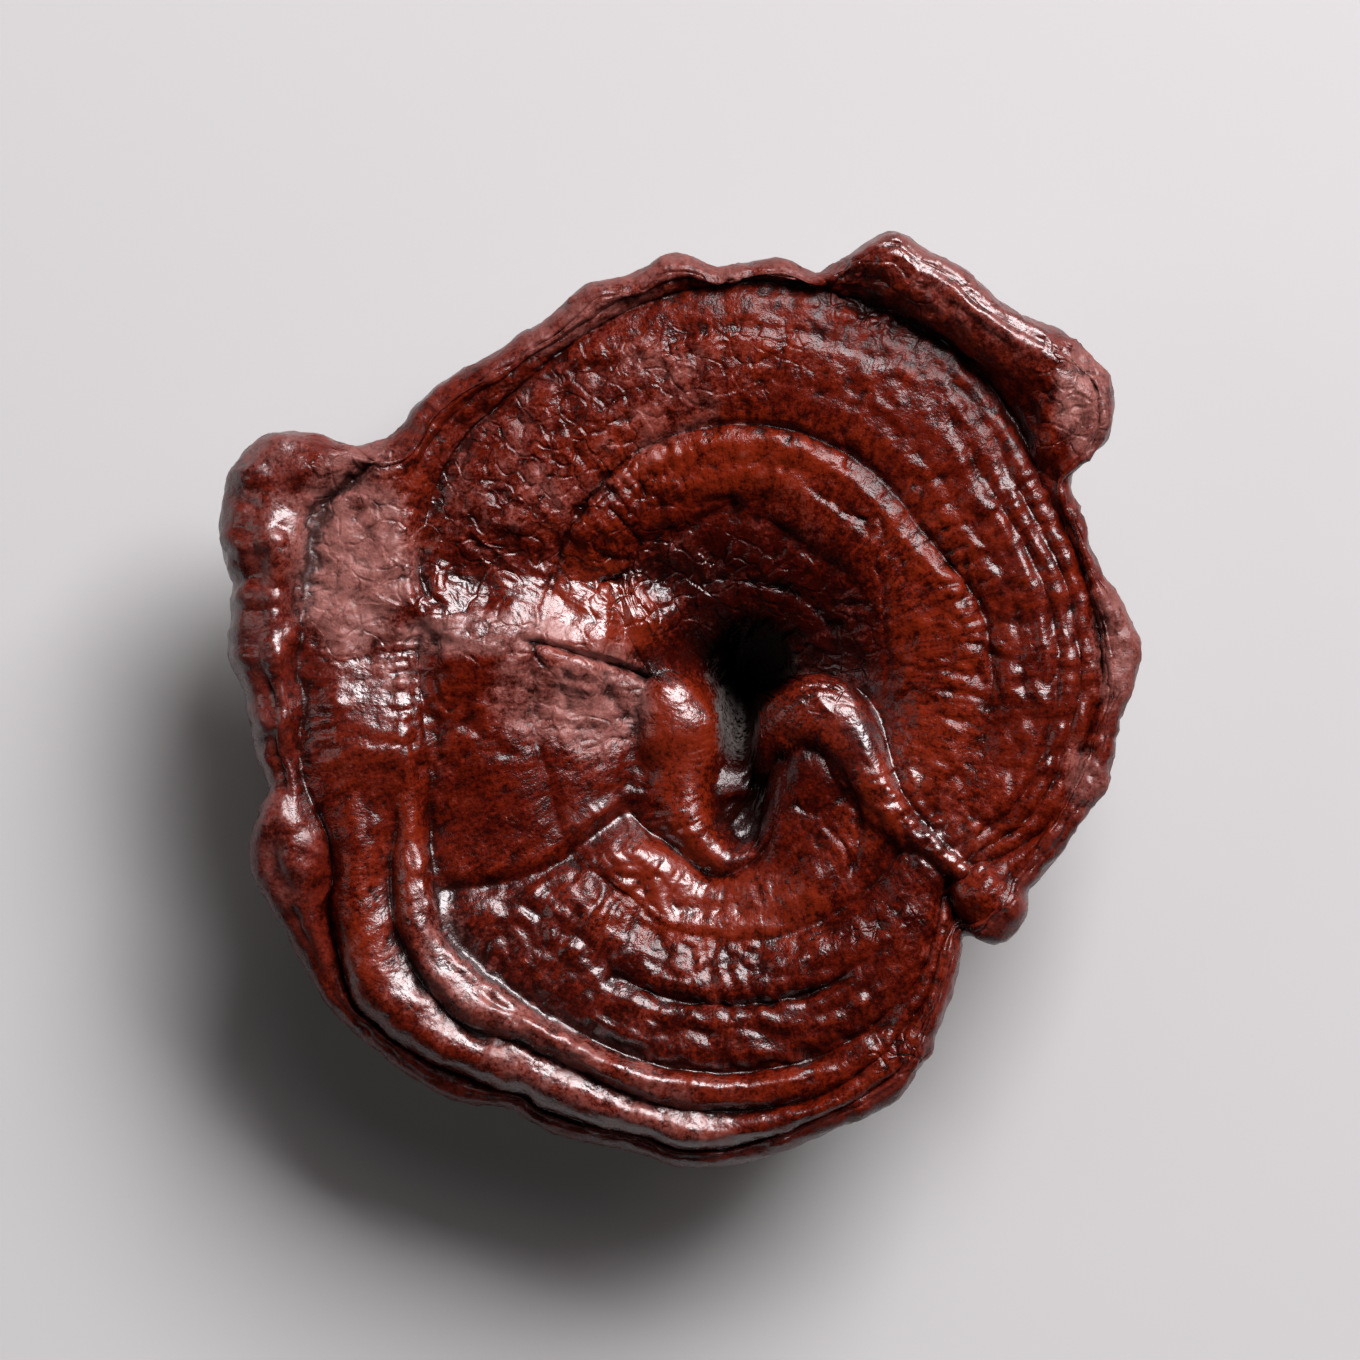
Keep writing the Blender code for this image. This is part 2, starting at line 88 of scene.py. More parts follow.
# The margin: (angle about the pit, radius in pixels)
MARGIN = (
    (0, 385), (2.9, 391), (5.6, 395), (10.1, 391), (12.2, 384), (15.3, 377), (18.5, 372), (21.7, 372),
    (24.8, 375), (30.5, 380), (32.9, 386), (33.9, 392), (34.7, 436), (35.9, 451), (37.9, 466), (39.5, 473),
    (41.4, 479), (45.8, 478), (49, 475), (51.7, 468), (56.8, 463), (59.6, 468), (62.8, 473), (68.1, 475),
    (71, 481), (72.4, 480), (73.9, 472), (75.7, 455), (77.2, 438), (80.3, 422), (85, 431), (90, 427),
    (93.7, 424), (97.8, 438), (100.1, 441), (104.7, 430), (107.6, 432), (110.8, 434), (113.4, 428),
    (119.4, 419), (122.8, 420), (124.7, 418), (128.1, 420), (131.8, 427), (135, 432), (139.8, 435),
    (142.1, 431), (144.1, 433), (145.9, 440), (147.4, 452), (148.5, 467), (149.5, 502), (151.4, 533),
    (153, 546), (155, 554), (157.2, 558), (159.4, 555), (163.8, 544), (167.9, 523), (170.2, 519),
    (175.4, 517), (180, 499), (182.3, 495), (187.5, 492), (189.8, 486), (191.3, 485), (194.3, 501),
    (196, 512), (198.2, 520), (201, 526), (204.6, 521), (207.1, 518), (212.7, 520), (217, 522), (223, 516),
    (229.7, 511), (234.9, 501), (237.6, 491), (239.9, 481), (241.6, 478), (243.8, 482), (246.1, 482),
    (253.6, 474), (257.1, 473), (261.6, 480), (265.9, 478), (273, 466), (280.3, 451), (287.2, 441),
    (290.2, 436), (293.3, 422), (298.7, 393), (305.1, 360), (309.8, 336), (311.4, 329), (312.7, 334),
    (314.6, 354), (316.7, 360), (319.1, 362), (321.2, 360), (324.9, 346), (328.2, 349), (331.4, 353),
    (337.1, 358), (342.3, 365), (345.4, 373), (354.9, 372),
)

# The rounding of the margin: (angle, width in pixels, half of its thickness in mm, height of its top in mm)
ROUNDING = (
    (0, 12, 4.0, 35.0), (20, 6, 3.8, 35.0), (33, 12, 4.2, 35.4), (37, 12, 4.8, 36.0), (47, 11, 5.0, 36.8),
    (62, 11, 5.2, 37.4), (72, 12, 5.0, 37.2), (80, 12, 4.6, 36.2), (100, 20, 4.8, 36.5), (120, 20, 4.6, 36.2),
    (142, 22, 4.8, 36.0), (150, 34, 6.0, 36.0), (165, 34, 6.2, 36.2), (182, 28, 5.6, 35.8),
    (191, 20, 4.8, 34.8), (200, 28, 5.6, 35.6), (208, 18, 5.0, 34.0), (217, 12, 4.6, 31.8),
    (240, 11, 4.4, 31.4), (265, 12, 4.4, 31.6), (280, 16, 4.6, 33.0), (300, 16, 4.4, 35.0),
    (311, 12, 4.0, 35.0), (318, 28, 5.4, 36.6), (325, 16, 4.4, 35.4), (345, 12, 4.0, 35.2),
)

# Growth lines: (angle, radius in pixels, height above the cut in mm)
PIT_MOUTH = (
    (0, 54, 24.0), (30, 62, 25.5), (60, 70, 26.5), (90, 72, 26.5), (120, 60, 25.0), (150, 45, 21.0),
    (180, 34, 22.0), (210, 38, 22.5), (235, 58, 25.0), (252, 82, 27.0), (266, 84, 27.2), (278, 76, 26.5),
    (290, 48, 24.0), (300, 32, 23.0), (330, 26, 22.5), (350, 48, 21.0),
)
INNER_LIP = (
    (12, 146, 32.6), (51, 154, 32.8), (73, 162, 32.8), (93, 187, 32.8), (105, 176, 32.4), (126, 180, 31.6),
    (150, 140, 29.5), (173, 95, 28.0), (182, 99, 29.0), (211, 119, 28.6), (226, 164, 29.0), (243, 171, 28.8),
    (261, 186, 28.4), (271, 171, 28.4), (281, 148, 28.6), (300, 120, 31.0), (320, 130, 33.0),
    (335, 150, 33.0), (356, 145, 32.0),
)
RING_LINE = (
    (0, 245, 34.5), (20, 249, 34.5), (41, 237, 34.3), (52, 246, 34.3), (66, 257, 34.5), (90, 266, 34.8),
    (110, 264, 34.5), (124, 252, 34.2), (137, 241, 33.8), (150, 220, 33.2), (165, 215, 32.6),
    (200, 215, 32.4), (226, 237, 32.6), (238, 236, 32.6), (255, 251, 32.8), (273, 250, 33.0),
    (300, 235, 33.6), (315, 225, 34.2), (331, 226, 34.4), (346, 242, 34.5),
)
DISC_GROOVE = (
    (3, 358, 33.4), (25, 359, 33.4), (34, 362, 33.0), (45, 382, 32.4), (58, 400, 32.4), (74, 407, 32.6),
    (80, 411, 33.4), (101, 402, 33.8), (119, 385, 33.6), (129, 377, 33.4), (137, 378, 33.2), (155, 356, 33.0),
    (168, 330, 33.0), (190, 322, 33.0), (202, 340, 32.8), (213, 370, 33.0), (219, 387, 33.0),
    (242, 383, 33.0), (260, 388, 33.0), (280, 376, 33.0), (292, 356, 33.4), (301, 336, 33.8),
    (309, 303, 34.0), (316, 280, 34.0), (324, 295, 33.8), (330, 315, 33.6), (336, 332, 33.4),
    (353, 347, 33.4),
)
FOLD_GROOVE = (
    (0, 363, 34.6), (20, 361, 34.4), (34, 376, 35.0), (39, 410, 36.2), (45, 424, 37.2), (53, 426, 37.8),
    (62, 434, 38.0), (72, 438, 37.4), (78, 424, 35.6), (103, 414, 35.2), (119, 396, 35.0), (137, 400, 35.0),
    (155, 388, 35.6), (165, 362, 35.7), (180, 350, 35.6), (190, 350, 35.4), (200, 370, 34.8),
    (207, 397, 34.4), (214, 420, 34.8), (224, 434, 35.0), (230, 436, 35.0), (237, 417, 35.2),
    (246, 413, 35.2), (260, 421, 35.0), (278, 414, 34.6), (290, 388, 34.5), (300, 356, 34.6),
    (309, 318, 34.6), (316, 305, 34.8), (326, 322, 34.4), (345, 347, 34.4),
)
LIP_GROOVE = (
    (0, 367, 35.0), (20, 364, 35.0), (34, 385, 36.0), (37, 444, 36.2), (41.4, 462, 36.8), (46, 461, 37.2),
    (51.7, 452, 37.6), (58, 447, 37.8), (64, 458, 37.8), (71, 466, 37.4), (76, 438, 36.6), (80, 412, 35.8),
    (103, 425, 36.4), (119, 408, 36.2), (137, 412, 35.8), (147, 430, 35.6), (157, 458, 33.8),
    (168, 451, 33.4), (180, 446, 33.4), (191, 452, 33.2), (199, 441, 33.4), (204, 450, 33.0),
    (208, 471, 32.4), (213, 484, 31.6), (220, 503, 31.0), (228, 491, 31.0), (237, 472, 30.8),
    (245, 466, 30.8), (256, 461, 30.8), (265, 465, 31.0), (271, 459, 31.2), (280, 434, 32.6),
    (292, 408, 34.0), (300, 372, 35.0), (311, 318, 35.0), (318, 334, 36.6), (326, 330, 35.4),
    (336, 338, 35.2), (353, 355, 35.0),
)

# The swelling of the flesh between two lines: (angle, height in mm)
PIT_WALL_SWELL = ((0, 0.5), (90, 1.0), (180, 2.5), (230, 2.0), (262, -0.5), (300, 1.5))
INNER_RING_SWELL = (
    (0, 2.0), (60, 2.0), (110, 2.0), (140, 2.0), (160, 1.2), (190, 0.8), (212, 0.8), (228, 1.2), (255, 1.4),
    (285, 1.6), (310, 1.4), (330, 1.6),
)
DISC_SWELL = (
    (0, 2.0), (45, 2.0), (90, 2.2), (135, 1.8), (155, 1.4), (185, 1.8), (208, 1.8), (222, 1.4), (260, 2.0),
    (300, 2.2), (320, 1.6), (345, 1.8),
)
FIRST_FOLD_SWELL = (
    (0, 0.5), (34, 0.4), (42, 1.4), (70, 1.4), (80, 0.6), (90, 0.6), (140, 0.8), (160, 0.5), (190, 0.8),
    (205, 2.4), (216, 3.8), (265, 3.6), (282, 2.2), (300, 1.0), (330, 0.5),
)
SECOND_FOLD_SWELL = (
    (0, 0.3), (34, 0.6), (44, 1.6), (60, 2.0), (72, 1.4), (90, 0.6), (140, 0.8), (160, 0.8), (190, 1.2),
    (205, 3.2), (216, 4.2), (262, 3.9), (276, 3.0), (292, 1.2), (330, 0.3),
)
MARGIN_SWELL = (
    (0, 0.2), (45, 0.4), (90, 0.3), (145, 0.6), (155, 2.0), (180, 2.0), (191, 1.2), (200, 2.6), (208, 1.4),
    (216, 0.6), (275, 0.5), (300, 0.2), (318, 0.8), (330, 0.2),
)
SWELLS = (
    None, PIT_WALL_SWELL, INNER_RING_SWELL, DISC_SWELL, FIRST_FOLD_SWELL, SECOND_FOLD_SWELL, MARGIN_SWELL,
)
SWELL_SHARPNESS = (1.0, 1.0, 0.7, 0.7, 0.7, 0.7, 0.8)
SWELL_SKEW = (1.0, 1.0, 1.0, 1.0, 1.0, 1.6, 1.0)

# Where the turn from one band to the next is soft: (line, reach across the bands, middle angle, half angle)
SOFT_LINES = (
    (2, 0.22, 0, 180), (3, 0.16, 10, 60), (4, 0.30, 176, 32), (5, 0.40, 176, 30), (5, 0.50, 58, 34),
    (6, 0.35, 180, 20), (6, 0.35, 122, 30),
)

# Growth rolls that follow the lines: (band, place across the band 0 to 1, half width across it, height in mm,
# first angle, last angle). The band is that of RINGS_TO_LINE.
GROWTH_ROLLS = (
    (3, 0.50, 0.06, 0.35, -42, 58), (3, 0.60, 0.045, -0.40, -40, 56), (3, 0.70, 0.05, 0.40, -40, 60),
    (3, 0.79, 0.035, -0.40, -38, 56), (3, 0.89, 0.05, 0.55, -40, 62), (3, 0.30, 0.05, -0.25, -30, 70),
    (3, 0.48, 0.04, -0.80, 236, 300), (3, 0.26, 0.12, 0.45, 228, 300), (3, 0.60, 0.06, 0.35, 232, 305),
    (3, 0.82, 0.08, 0.55, 226, 300), (3, 0.94, 0.03, -0.30, 226, 300), (3, 0.10, 0.04, -0.35, 226, 285),
    (3, 0.66, 0.03, -0.25, 66, 118), (3, 0.56, 0.08, 0.15, 62, 125), (3, 0.84, 0.06, 0.12, 60, 130),
    (3, 0.30, 0.04, -0.15, 60, 150), (2, 0.55, 0.10, -0.30, 20, 120), (2, 0.80, 0.08, 0.35, 0, 140),
)

# Rolls and knobs that lie on the cap: (depth in mm, fullness, width in mm over which its foot blends in,
# path). A row of the path is picture x and y, then the crest's height and the width left and right in mm.
ROLLS = (
    (5.5, 2.0, 0.8, (
        (769, 768, 31.0, 2.0, 1.8), (772, 744, 33.8, 2.6, 3.6), (783, 720, 35.4, 3.4, 5.0),
        (803, 706, 36.4, 4.0, 5.8), (828, 707, 36.5, 4.4, 6.8), (846, 724, 36.9, 4.5, 6.8),
        (862, 752, 37.2, 3.8, 6.2), (880, 786, 37.3, 2.9, 5.6), (901, 815, 37.2, 1.9, 5.0),
        (928, 840, 37.0, 1.5, 4.0), (960, 868, 36.5, 1.4, 2.6))),
    (5.0, 2.6, 0.8, (
        (788, 742, 34.6, 3.0, 2.0), (800, 730, 36.2, 4.0, 3.2), (820, 722, 36.8, 5.0, 4.4),
        (838, 734, 36.8, 4.6, 4.4), (846, 750, 36.4, 3.4, 3.0))),
    (6.0, 3.2, 0.8, (
        (808, 750, 34.4, 5.4, 4.0), (815, 770, 34.8, 5.8, 5.2), (820, 792, 34.5, 5.8, 6.4),
        (820, 815, 34.0, 5.8, 6.8), (808, 844, 33.4, 7.0, 6.2), (782, 872, 32.8, 6.6, 4.8),
        (748, 890, 32.2, 6.4, 3.6), (712, 892, 31.2, 6.0, 3.0))),
    (5.0, 2.2, 1.0, (
        (662, 712, 32.0, 6.6, 4.0), (670, 736, 32.2, 7.8, 5.6), (678, 762, 31.2, 6.4, 5.8),
        (680, 790, 31.2, 4.6, 5.0), (685, 818, 31.8, 4.0, 4.4), (702, 846, 31.8, 3.4, 3.2),
        (730, 866, 31.6, 3.0, 2.4), (762, 858, 31.8, 2.6, 2.0))),
    (6.0, 2.6, 1.2, (
        (788, 772, 33.4, 3.0, 2.6), (785, 796, 33.8, 3.4, 2.8), (782, 822, 33.6, 3.4, 2.8),
        (774, 850, 32.8, 3.4, 2.8))),
    (4.5, 2.0, 1.2, (
        (836, 270, 36.6, 2.6, 2.6), (862, 258, 38.0, 3.6, 3.6), (890, 263, 39.0, 4.4, 4.8),
        (926, 282, 39.4, 4.6, 5.2), (962, 304, 39.4, 4.6, 5.4), (1000, 331, 39.2, 4.8, 5.4),
        (1034, 356, 39.0, 5.0, 5.0), (1054, 384, 38.8, 4.8, 4.6), (1058, 416, 38.2, 4.4, 4.0),
        (1050, 446, 37.0, 3.4, 3.0))),
    (4.5, 2.0, 0.5, ((276, 806, 36.4, 3.6, 4.6), (290, 826, 37.2, 3.6, 4.6), (298, 850, 36.6, 3.6, 4.6))),
    (5.0, 2.0, 0.5, ((984, 894, 37.6, 4.9, 4.9), (994, 904, 37.4, 4.9, 4.9))),
)

# Folds, creases and cracks: (height in mm at the start and at the end, width left and right in mm, path)
FOLDS = (
    # the middle: the hook's crease, the pool, the slit and the terraces of the pit
    (-1.8, -1.4, 3.0, 3.0, ((740, 796), (744, 828))),
    (-1.0, -1.0, 1.4, 1.4, ((712, 766), (738, 774), (762, 776))),
    (1.1, 1.3, 0.7, 0.8, ((702, 776), (705, 796), (711, 818), (722, 836), (738, 845))),
    (-4.0, -3.0, 1.8, 1.8, ((733, 680), (738, 720), (744, 756))),
    (-0.7, -0.7, 0.5, 0.9, (
        (640, 544), (666, 541), (698, 520), (716, 509), (734, 503), (742, 514), (775, 523), (792, 535),
        (819, 555), (842, 570))),
    (-1.0, -1.0, 0.5, 0.5, ((698, 588), (722, 576), (745, 579), (789, 588), (819, 611), (833, 629))),
    (-0.7, -0.6, 0.28, 0.28, (
        (816, 491), (824, 500), (833, 503), (843, 513), (856, 517), (866, 520), (877, 518), (882, 530),
        (883, 547), (876, 556), (875, 567), (882, 580), (883, 597), (886, 630), (888, 660), (890, 700))),
    (-1.0, -0.7, 0.4, 0.4, ((640, 544), (628, 573), (599, 582))),
    (-0.9, -0.7, 0.4, 0.4, ((600, 583), (622, 575), (640, 545))),
    (-0.6, -0.4, 0.3, 0.4, ((637, 466), (643, 488), (650, 510))),
    (-0.6, -0.6, 0.3, 0.4, ((606, 504), (622, 520), (641, 541))),
    (-0.5, -0.5, 0.3, 0.4, ((590, 547), (612, 556), (640, 558))),
    (-0.5, -0.5, 0.3, 0.4, ((572, 583), (600, 580), (630, 572), (643, 561))),
    (-0.5, -0.5, 0.3, 0.4, ((694, 507), (712, 500), (736, 498))),
    (-0.5, -0.5, 0.3, 0.4, ((840, 430), (850, 452), (846, 470))),
    (-0.4, -0.3, 0.3, 0.3, ((890, 672), (908, 666), (926, 672), (944, 668))),
    (-0.4, -0.3, 0.3, 0.3, ((900, 700), (912, 690), (924, 694), (938, 704))),
    # the left: the swell beside the crack, the crack, the folded panel, its edge and the drip line
    (-1.2, -1.8, 4.0, 4.0, ((440, 574), (500, 568), (570, 562), (630, 574))),
    (1.6, 3.0, 6.5, 6.0, ((440, 640), (500, 646), (560, 656), (606, 668))),
    (-0.7, -0.7, 0.5, 0.35, (
        (551, 592), (558, 560), (573, 528), (590, 500), (613, 473), (650, 447), (687, 430), (723, 424),
        (760, 426), (800, 433), (850, 456), (870, 470), (895, 495), (925, 535), (955, 572), (978, 603),
        (990, 650), (990, 690), (980, 750))),
    (-1.0, -2.4, 0.6, 0.6, ((520, 640), (552, 646), (584, 656), (612, 664), (634, 672), (652, 680))),
    (-0.6, -0.5, 0.3, 0.3, ((532, 640), (536, 656), (548, 670))),
    (-0.6, -0.4, 0.3, 0.3, ((584, 750), (598, 746), (612, 738), (628, 740))),
    (-0.5, -0.4, 0.3, 0.3, ((598, 746), (602, 758), (598, 768))),
    (-0.5, -0.4, 0.5, 0.6, ((604, 666), (610, 690), (622, 712), (630, 722))),
    (-0.5, -0.4, 0.6, 0.6, ((566, 666), (564, 690), (572, 716))),
    (-0.4, -0.3, 0.5, 0.5, ((530, 668), (536, 690), (534, 716))),
    (-1.2, -1.8, 1.2, 2.0, ((437, 887), (471, 887), (522, 878), (560, 862), (600, 831), (629, 809))),
    (0.1, 0.8, 2.6, 2.6, ((402, 620), (398, 690), (400, 760), (408, 830), (418, 880))),
    (-0.9, -0.9, 0.5, 0.8, ((437, 537), (424, 545), (420, 571), (428, 590), (443, 609))),
    (0.5, 0.5, 0.9, 0.9, ((412, 560), (410, 590), (418, 612), (436, 622))),
    (-0.7, -0.4, 0.5, 0.5, ((410, 536), (412, 538))),
    (-0.8, -0.7, 0.5, 0.5, (
        (405, 431), (386, 450), (360, 477), (345, 492), (314, 509), (307, 540), (303, 562))),
    (-0.5, -0.4, 0.8, 0.6, (
        (306, 548), (299, 575), (295, 601), (302, 634), (297, 668), (305, 703), (300, 730), (302, 760))),
    (-0.8, -0.8, 0.6, 0.6, ((292, 440), (252, 482), (244, 530), (243, 600), (243, 660), (250, 708))),
    (0.8, 0.8, 2.4, 2.6, ((266, 474), (270, 486))), (1.0, 1.0, 2.6, 2.8, ((266, 536), (270, 548))),
    (1.0, 1.0, 2.4, 2.8, ((268, 594), (272, 606))), (1.0, 1.0, 2.4, 2.6, ((270, 652), (272, 664))),
    (0.8, 0.8, 2.4, 2.6, ((276, 716), (280, 728))), (0.8, 0.8, 2.2, 2.2, ((330, 700), (332, 712))),
    (0.8, 0.8, 2.0, 2.2, ((336, 752), (340, 764))),
    # the lower sector: the bulge above the pool, the ridge past the groove and the creases
    (0.8, 0.8, 3.4, 3.4, ((628, 836), (656, 866), (700, 898), (750, 912), (798, 896), (824, 862))),
    (1.4, 1.2, 1.2, 1.2, (
        (424, 850), (430, 892), (440, 926), (458, 955), (484, 980), (520, 1008), (566, 1038), (614, 1062),
        (664, 1076), (726, 1082), (780, 1077), (822, 1066))),
    (-0.9, -0.9, 1.2, 1.2, (
        (600, 968), (628, 986), (664, 999), (700, 1003), (750, 1004), (800, 998), (846, 978))),
    (-2.4, -2.0, 1.6, 1.6, ((948, 890), (958, 914), (962, 938))),
    # the upper right: the cracked groove inside the thick lobe's lip
    (-0.6, -0.6, 0.5, 0.5, ((1082, 366), (1092, 388), (1096, 410), (1094, 436), (1084, 456))),
)

# Creases and cracks cut into the rolls, written like the folds
ROLL_CREASES = (
    (-0.6, -0.6, 0.4, 0.5, (
        (770, 768), (780, 759), (790, 751), (803, 748), (817, 751), (830, 759), (842, 770), (848, 784))),
    (-0.5, -0.4, 0.25, 0.4, (
        (767, 762), (769, 735), (776, 712), (789, 698), (806, 690), (826, 688), (842, 694))),
    (-0.9, -0.8, 0.6, 0.7, ((848, 784), (857, 802), (860, 824), (857, 850), (850, 874))),
    (-0.5, -0.3, 0.25, 0.3, ((792, 800), (806, 811), (820, 812), (834, 802), (850, 788))),
    (-0.4, -0.3, 0.25, 0.3, ((822, 826), (836, 832), (846, 850), (848, 868))),
    (-0.4, -0.3, 0.25, 0.3, ((824, 760), (832, 774), (844, 780))),
    (-0.8, -0.8, 0.3, 0.8, (
        (629, 809), (646, 829), (667, 842), (686, 855), (702, 870), (716, 877), (736, 869), (752, 861),
        (768, 844), (774, 820))),
)

# Places that lean a little more: (x, y, half width, half height, turn, slope, direction in which it falls),
# in pixels and degrees
LEANS = (
    (284, 524, 20, 40, 0, 0.30, 84), (284, 622, 14, 30, 0, 0.30, 84), (378, 696, 42, 62, 0, 0.26, 62),
    (603, 612, 40, 38, 0, 0.32, 139), (456, 600, 34, 26, 0, 0.40, 11), (520, 604, 36, 26, 0, 0.12, 50),
    (520, 800, 90, 60, 0, 0.10, 238), (730, 950, 90, 24, 0, 0.14, 250), (664, 602, 24, 28, 0, 0.62, 100),
    (694, 884, 66, 26, -18, 0.34, 266),
)

# Short wrinkles side by side across a path: (count, half length in pixels, height in mm, width in mm, path)
RUNGS = (
    (10, 17, -0.45, 0.40, ((398, 636), (402, 690), (400, 762))),
    (9, 13, -0.35, 0.35, ((330, 640), (326, 700), (330, 770))),
    (12, 20, -0.10, 0.45, ((632, 842), (664, 872), (706, 896), (760, 904), (806, 886))),
    (9, 14, -0.30, 0.40, ((884, 772), (904, 808), (934, 840))),
    (22, 17, -0.40, 0.50, (
        (418, 420), (480, 356), (556, 306), (622, 280), (690, 268), (760, 274), (826, 280))),
    (14, 18, -0.35, 0.50, ((1084, 560), (1112, 640), (1098, 740), (1060, 826))),
    (18, 20, -0.30, 0.50, ((240, 500), (236, 600), (246, 700), (262, 780))),
    (12, 22, -0.35, 0.50, ((930, 470), (958, 560), (966, 650), (950, 740))),
    (8, 18, -0.40, 0.45, ((610, 500), (650, 466), (700, 450))),
)

# Soft patches of the cap: (x, y, half width and half height in pixels, turn in degrees, strength)
WRINKLED = (
    (540, 470, 120, 75, 45, 0.65), (660, 380, 130, 40, 10, 0.5), (640, 560, 60, 60, 0, 0.6),
    (460, 590, 50, 40, 0, 0.4), (700, 585, 100, 45, 0, 0.8), (360, 560, 55, 90, 0, 0.4),
    (480, 640, 80, 26, 0, 0.35), (590, 695, 60, 50, 0, 0.4), (880, 928, 40, 12, 20, 0.7),
    (880, 300, 60, 30, -20, 0.7), (900, 1050, 30, 20, 0, 0.8), (345, 475, 50, 30, 35, 0.5),
    (830, 640, 45, 60, 0, 0.5), (1070, 400, 34, 60, 0, 0.6), (960, 296, 100, 34, -33, 0.15),
)
BLISTERED = (
    (680, 796, 34, 34, 20, 1.0), (745, 822, 26, 30, 0, 0.6), (760, 900, 60, 30, 15, 0.3),
    (1045, 640, 70, 200, 10, 0.8), (980, 830, 80, 60, 0, 0.8), (700, 1005, 210, 60, 0, 1.0),
    (890, 965, 70, 80, 0, 0.3), (270, 600, 26, 140, 0, 0.5), (570, 935, 90, 60, 20, 1.0),
    (268, 600, 34, 160, 0, 0.8), (430, 720, 26, 70, 0, 0.8), (330, 720, 26, 100, 0, 0.6),
    (910, 420, 90, 50, -40, 0.6), (490, 720, 60, 40, 0, 0.5),
)
GRAVELLY = (
    (860, 322, 70, 26, -18, 1.0), (905, 336, 60, 30, -32, 1.0), (985, 415, 54, 18, -52, 0.9),
    (740, 296, 80, 18, 0, 0.7), (546, 372, 30, 16, 30, 1.0), (470, 420, 40, 20, 45, 0.8),
    (820, 290, 60, 12, 0, 0.8), (905, 498, 90, 16, -46, 0.7), (800, 432, 60, 14, -10, 0.5),
    (370, 462, 44, 10, 40, 0.9), (940, 360, 60, 16, -40, 0.6),
)
# Dusty matte patches: paler greyish-pink, partly dust and partly painted sheen
DUST_AND_PAINTED_SHEEN_PATCHES = (
    (352, 560, 54, 84, 0, 0.85), (376, 660, 46, 50, 0, 0.4), (268, 432, 40, 40, 0, 0.6),
    (350, 474, 48, 26, 35, 0.7), (482, 634, 84, 20, 0, 0.8), (600, 695, 46, 52, 0, 0.85),
    (545, 690, 50, 45, 0, 0.6), (545, 450, 110, 70, 45, 0.3), (1082, 400, 26, 50, 0, 0.8),
    (285, 850, 28, 55, 0, 0.4), (560, 1060, 160, 36, -26, 0.5), (455, 960, 26, 80, 25, 0.35),
    (950, 286, 110, 26, -33, 0.25), (272, 560, 22, 110, 0, 0.3), (600, 300, 120, 25, 30, 0.5),
    (1112, 640, 22, 60, 0, 0.7), (640, 400, 90, 50, 10, 0.35), (1095, 800, 20, 60, 25, 0.6),
    (760, 270, 90, 14, 0, 0.5), (680, 590, 60, 40, 0, 0.2), (840, 640, 40, 46, 0, 0.2),
)
# Patches of orange-red young lacquer that also carry painted light: they brighten places that should look lit,
# such as the hook's dome, the hump and the tongue
YOUNG_AND_PAINTED_LIGHT_PATCHES = (
    (812, 716, 50, 40, 0, 0.65), (822, 800, 44, 60, 0, 0.2), (682, 800, 34, 50, 0, 0.8),
    (670, 862, 60, 34, 35, 0.9), (680, 730, 40, 50, 0, 0.9), (880, 790, 30, 70, -35, 0.6),
    (930, 620, 50, 130, 10, 0.5), (720, 912, 110, 34, 0, 0.7), (720, 450, 130, 36, 0, 0.6),
    (420, 512, 20, 40, 0, 0.6), (600, 612, 56, 50, 0, 1.0), (650, 600, 40, 40, 0, 0.6),
    (380, 900, 26, 90, -20, 0.4), (560, 1050, 120, 26, -30, 0.4), (790, 590, 60, 30, 20, 0.3),
    (742, 815, 30, 40, 0, 0.35),
)
SMOOTH = (
    (590, 700, 56, 54, 0, 0.8), (520, 790, 90, 60, 0, 0.8), (900, 890, 50, 40, 0, 0.8),
    (603, 614, 34, 32, 0, 1.0), (825, 720, 60, 50, 0, 1.0), (682, 740, 40, 60, 0, 0.9),
    (690, 884, 120, 40, -24, 1.0), (650, 862, 60, 30, -42, 1.0), (422, 515, 24, 44, 0, 1.0),
    (500, 600, 80, 36, 0, 0.7), (600, 615, 36, 36, 0, 0.7), (740, 820, 40, 50, 0, 0.6),
    (520, 800, 100, 70, 0, 0.5), (840, 390, 110, 40, -25, 0.5),
)
GLOSSY = (
    (500, 600, 84, 40, 0, 0.75), (600, 615, 44, 44, 0, 1.0), (684, 716, 42, 56, 0, 0.8),
    (690, 874, 110, 36, -24, 1.3), (650, 858, 70, 30, -42, 1.4), (868, 740, 34, 84, 30, 0.85),
    (575, 1055, 190, 50, -24, 1.3), (446, 950, 50, 90, 30, 0.9), (268, 600, 40, 170, 0, 1.3),
    (366, 700, 60, 70, 0, 0.9), (690, 1005, 220, 50, 0, 0.35), (520, 950, 80, 60, 30, 0.6),
    (422, 515, 26, 70, 0, 0.8), (670, 595, 50, 46, 0, 0.6), (300, 840, 26, 50, 0, 0.6),
    (740, 820, 40, 50, 0, 0.3), (945, 852, 40, 26, -40, 1.0), (930, 282, 120, 40, -33, 1.2),
    (1040, 620, 40, 150, 8, 0.4), (560, 960, 70, 50, -20, 0.7), (820, 700, 50, 40, 0, 0.7),
)
# Painted shade: the pit and the top of the slit are painted black
PIT_SHADE = ((750, 654, 44, 42, 0, 1.0), (736, 714, 14, 44, 8, 1.0))
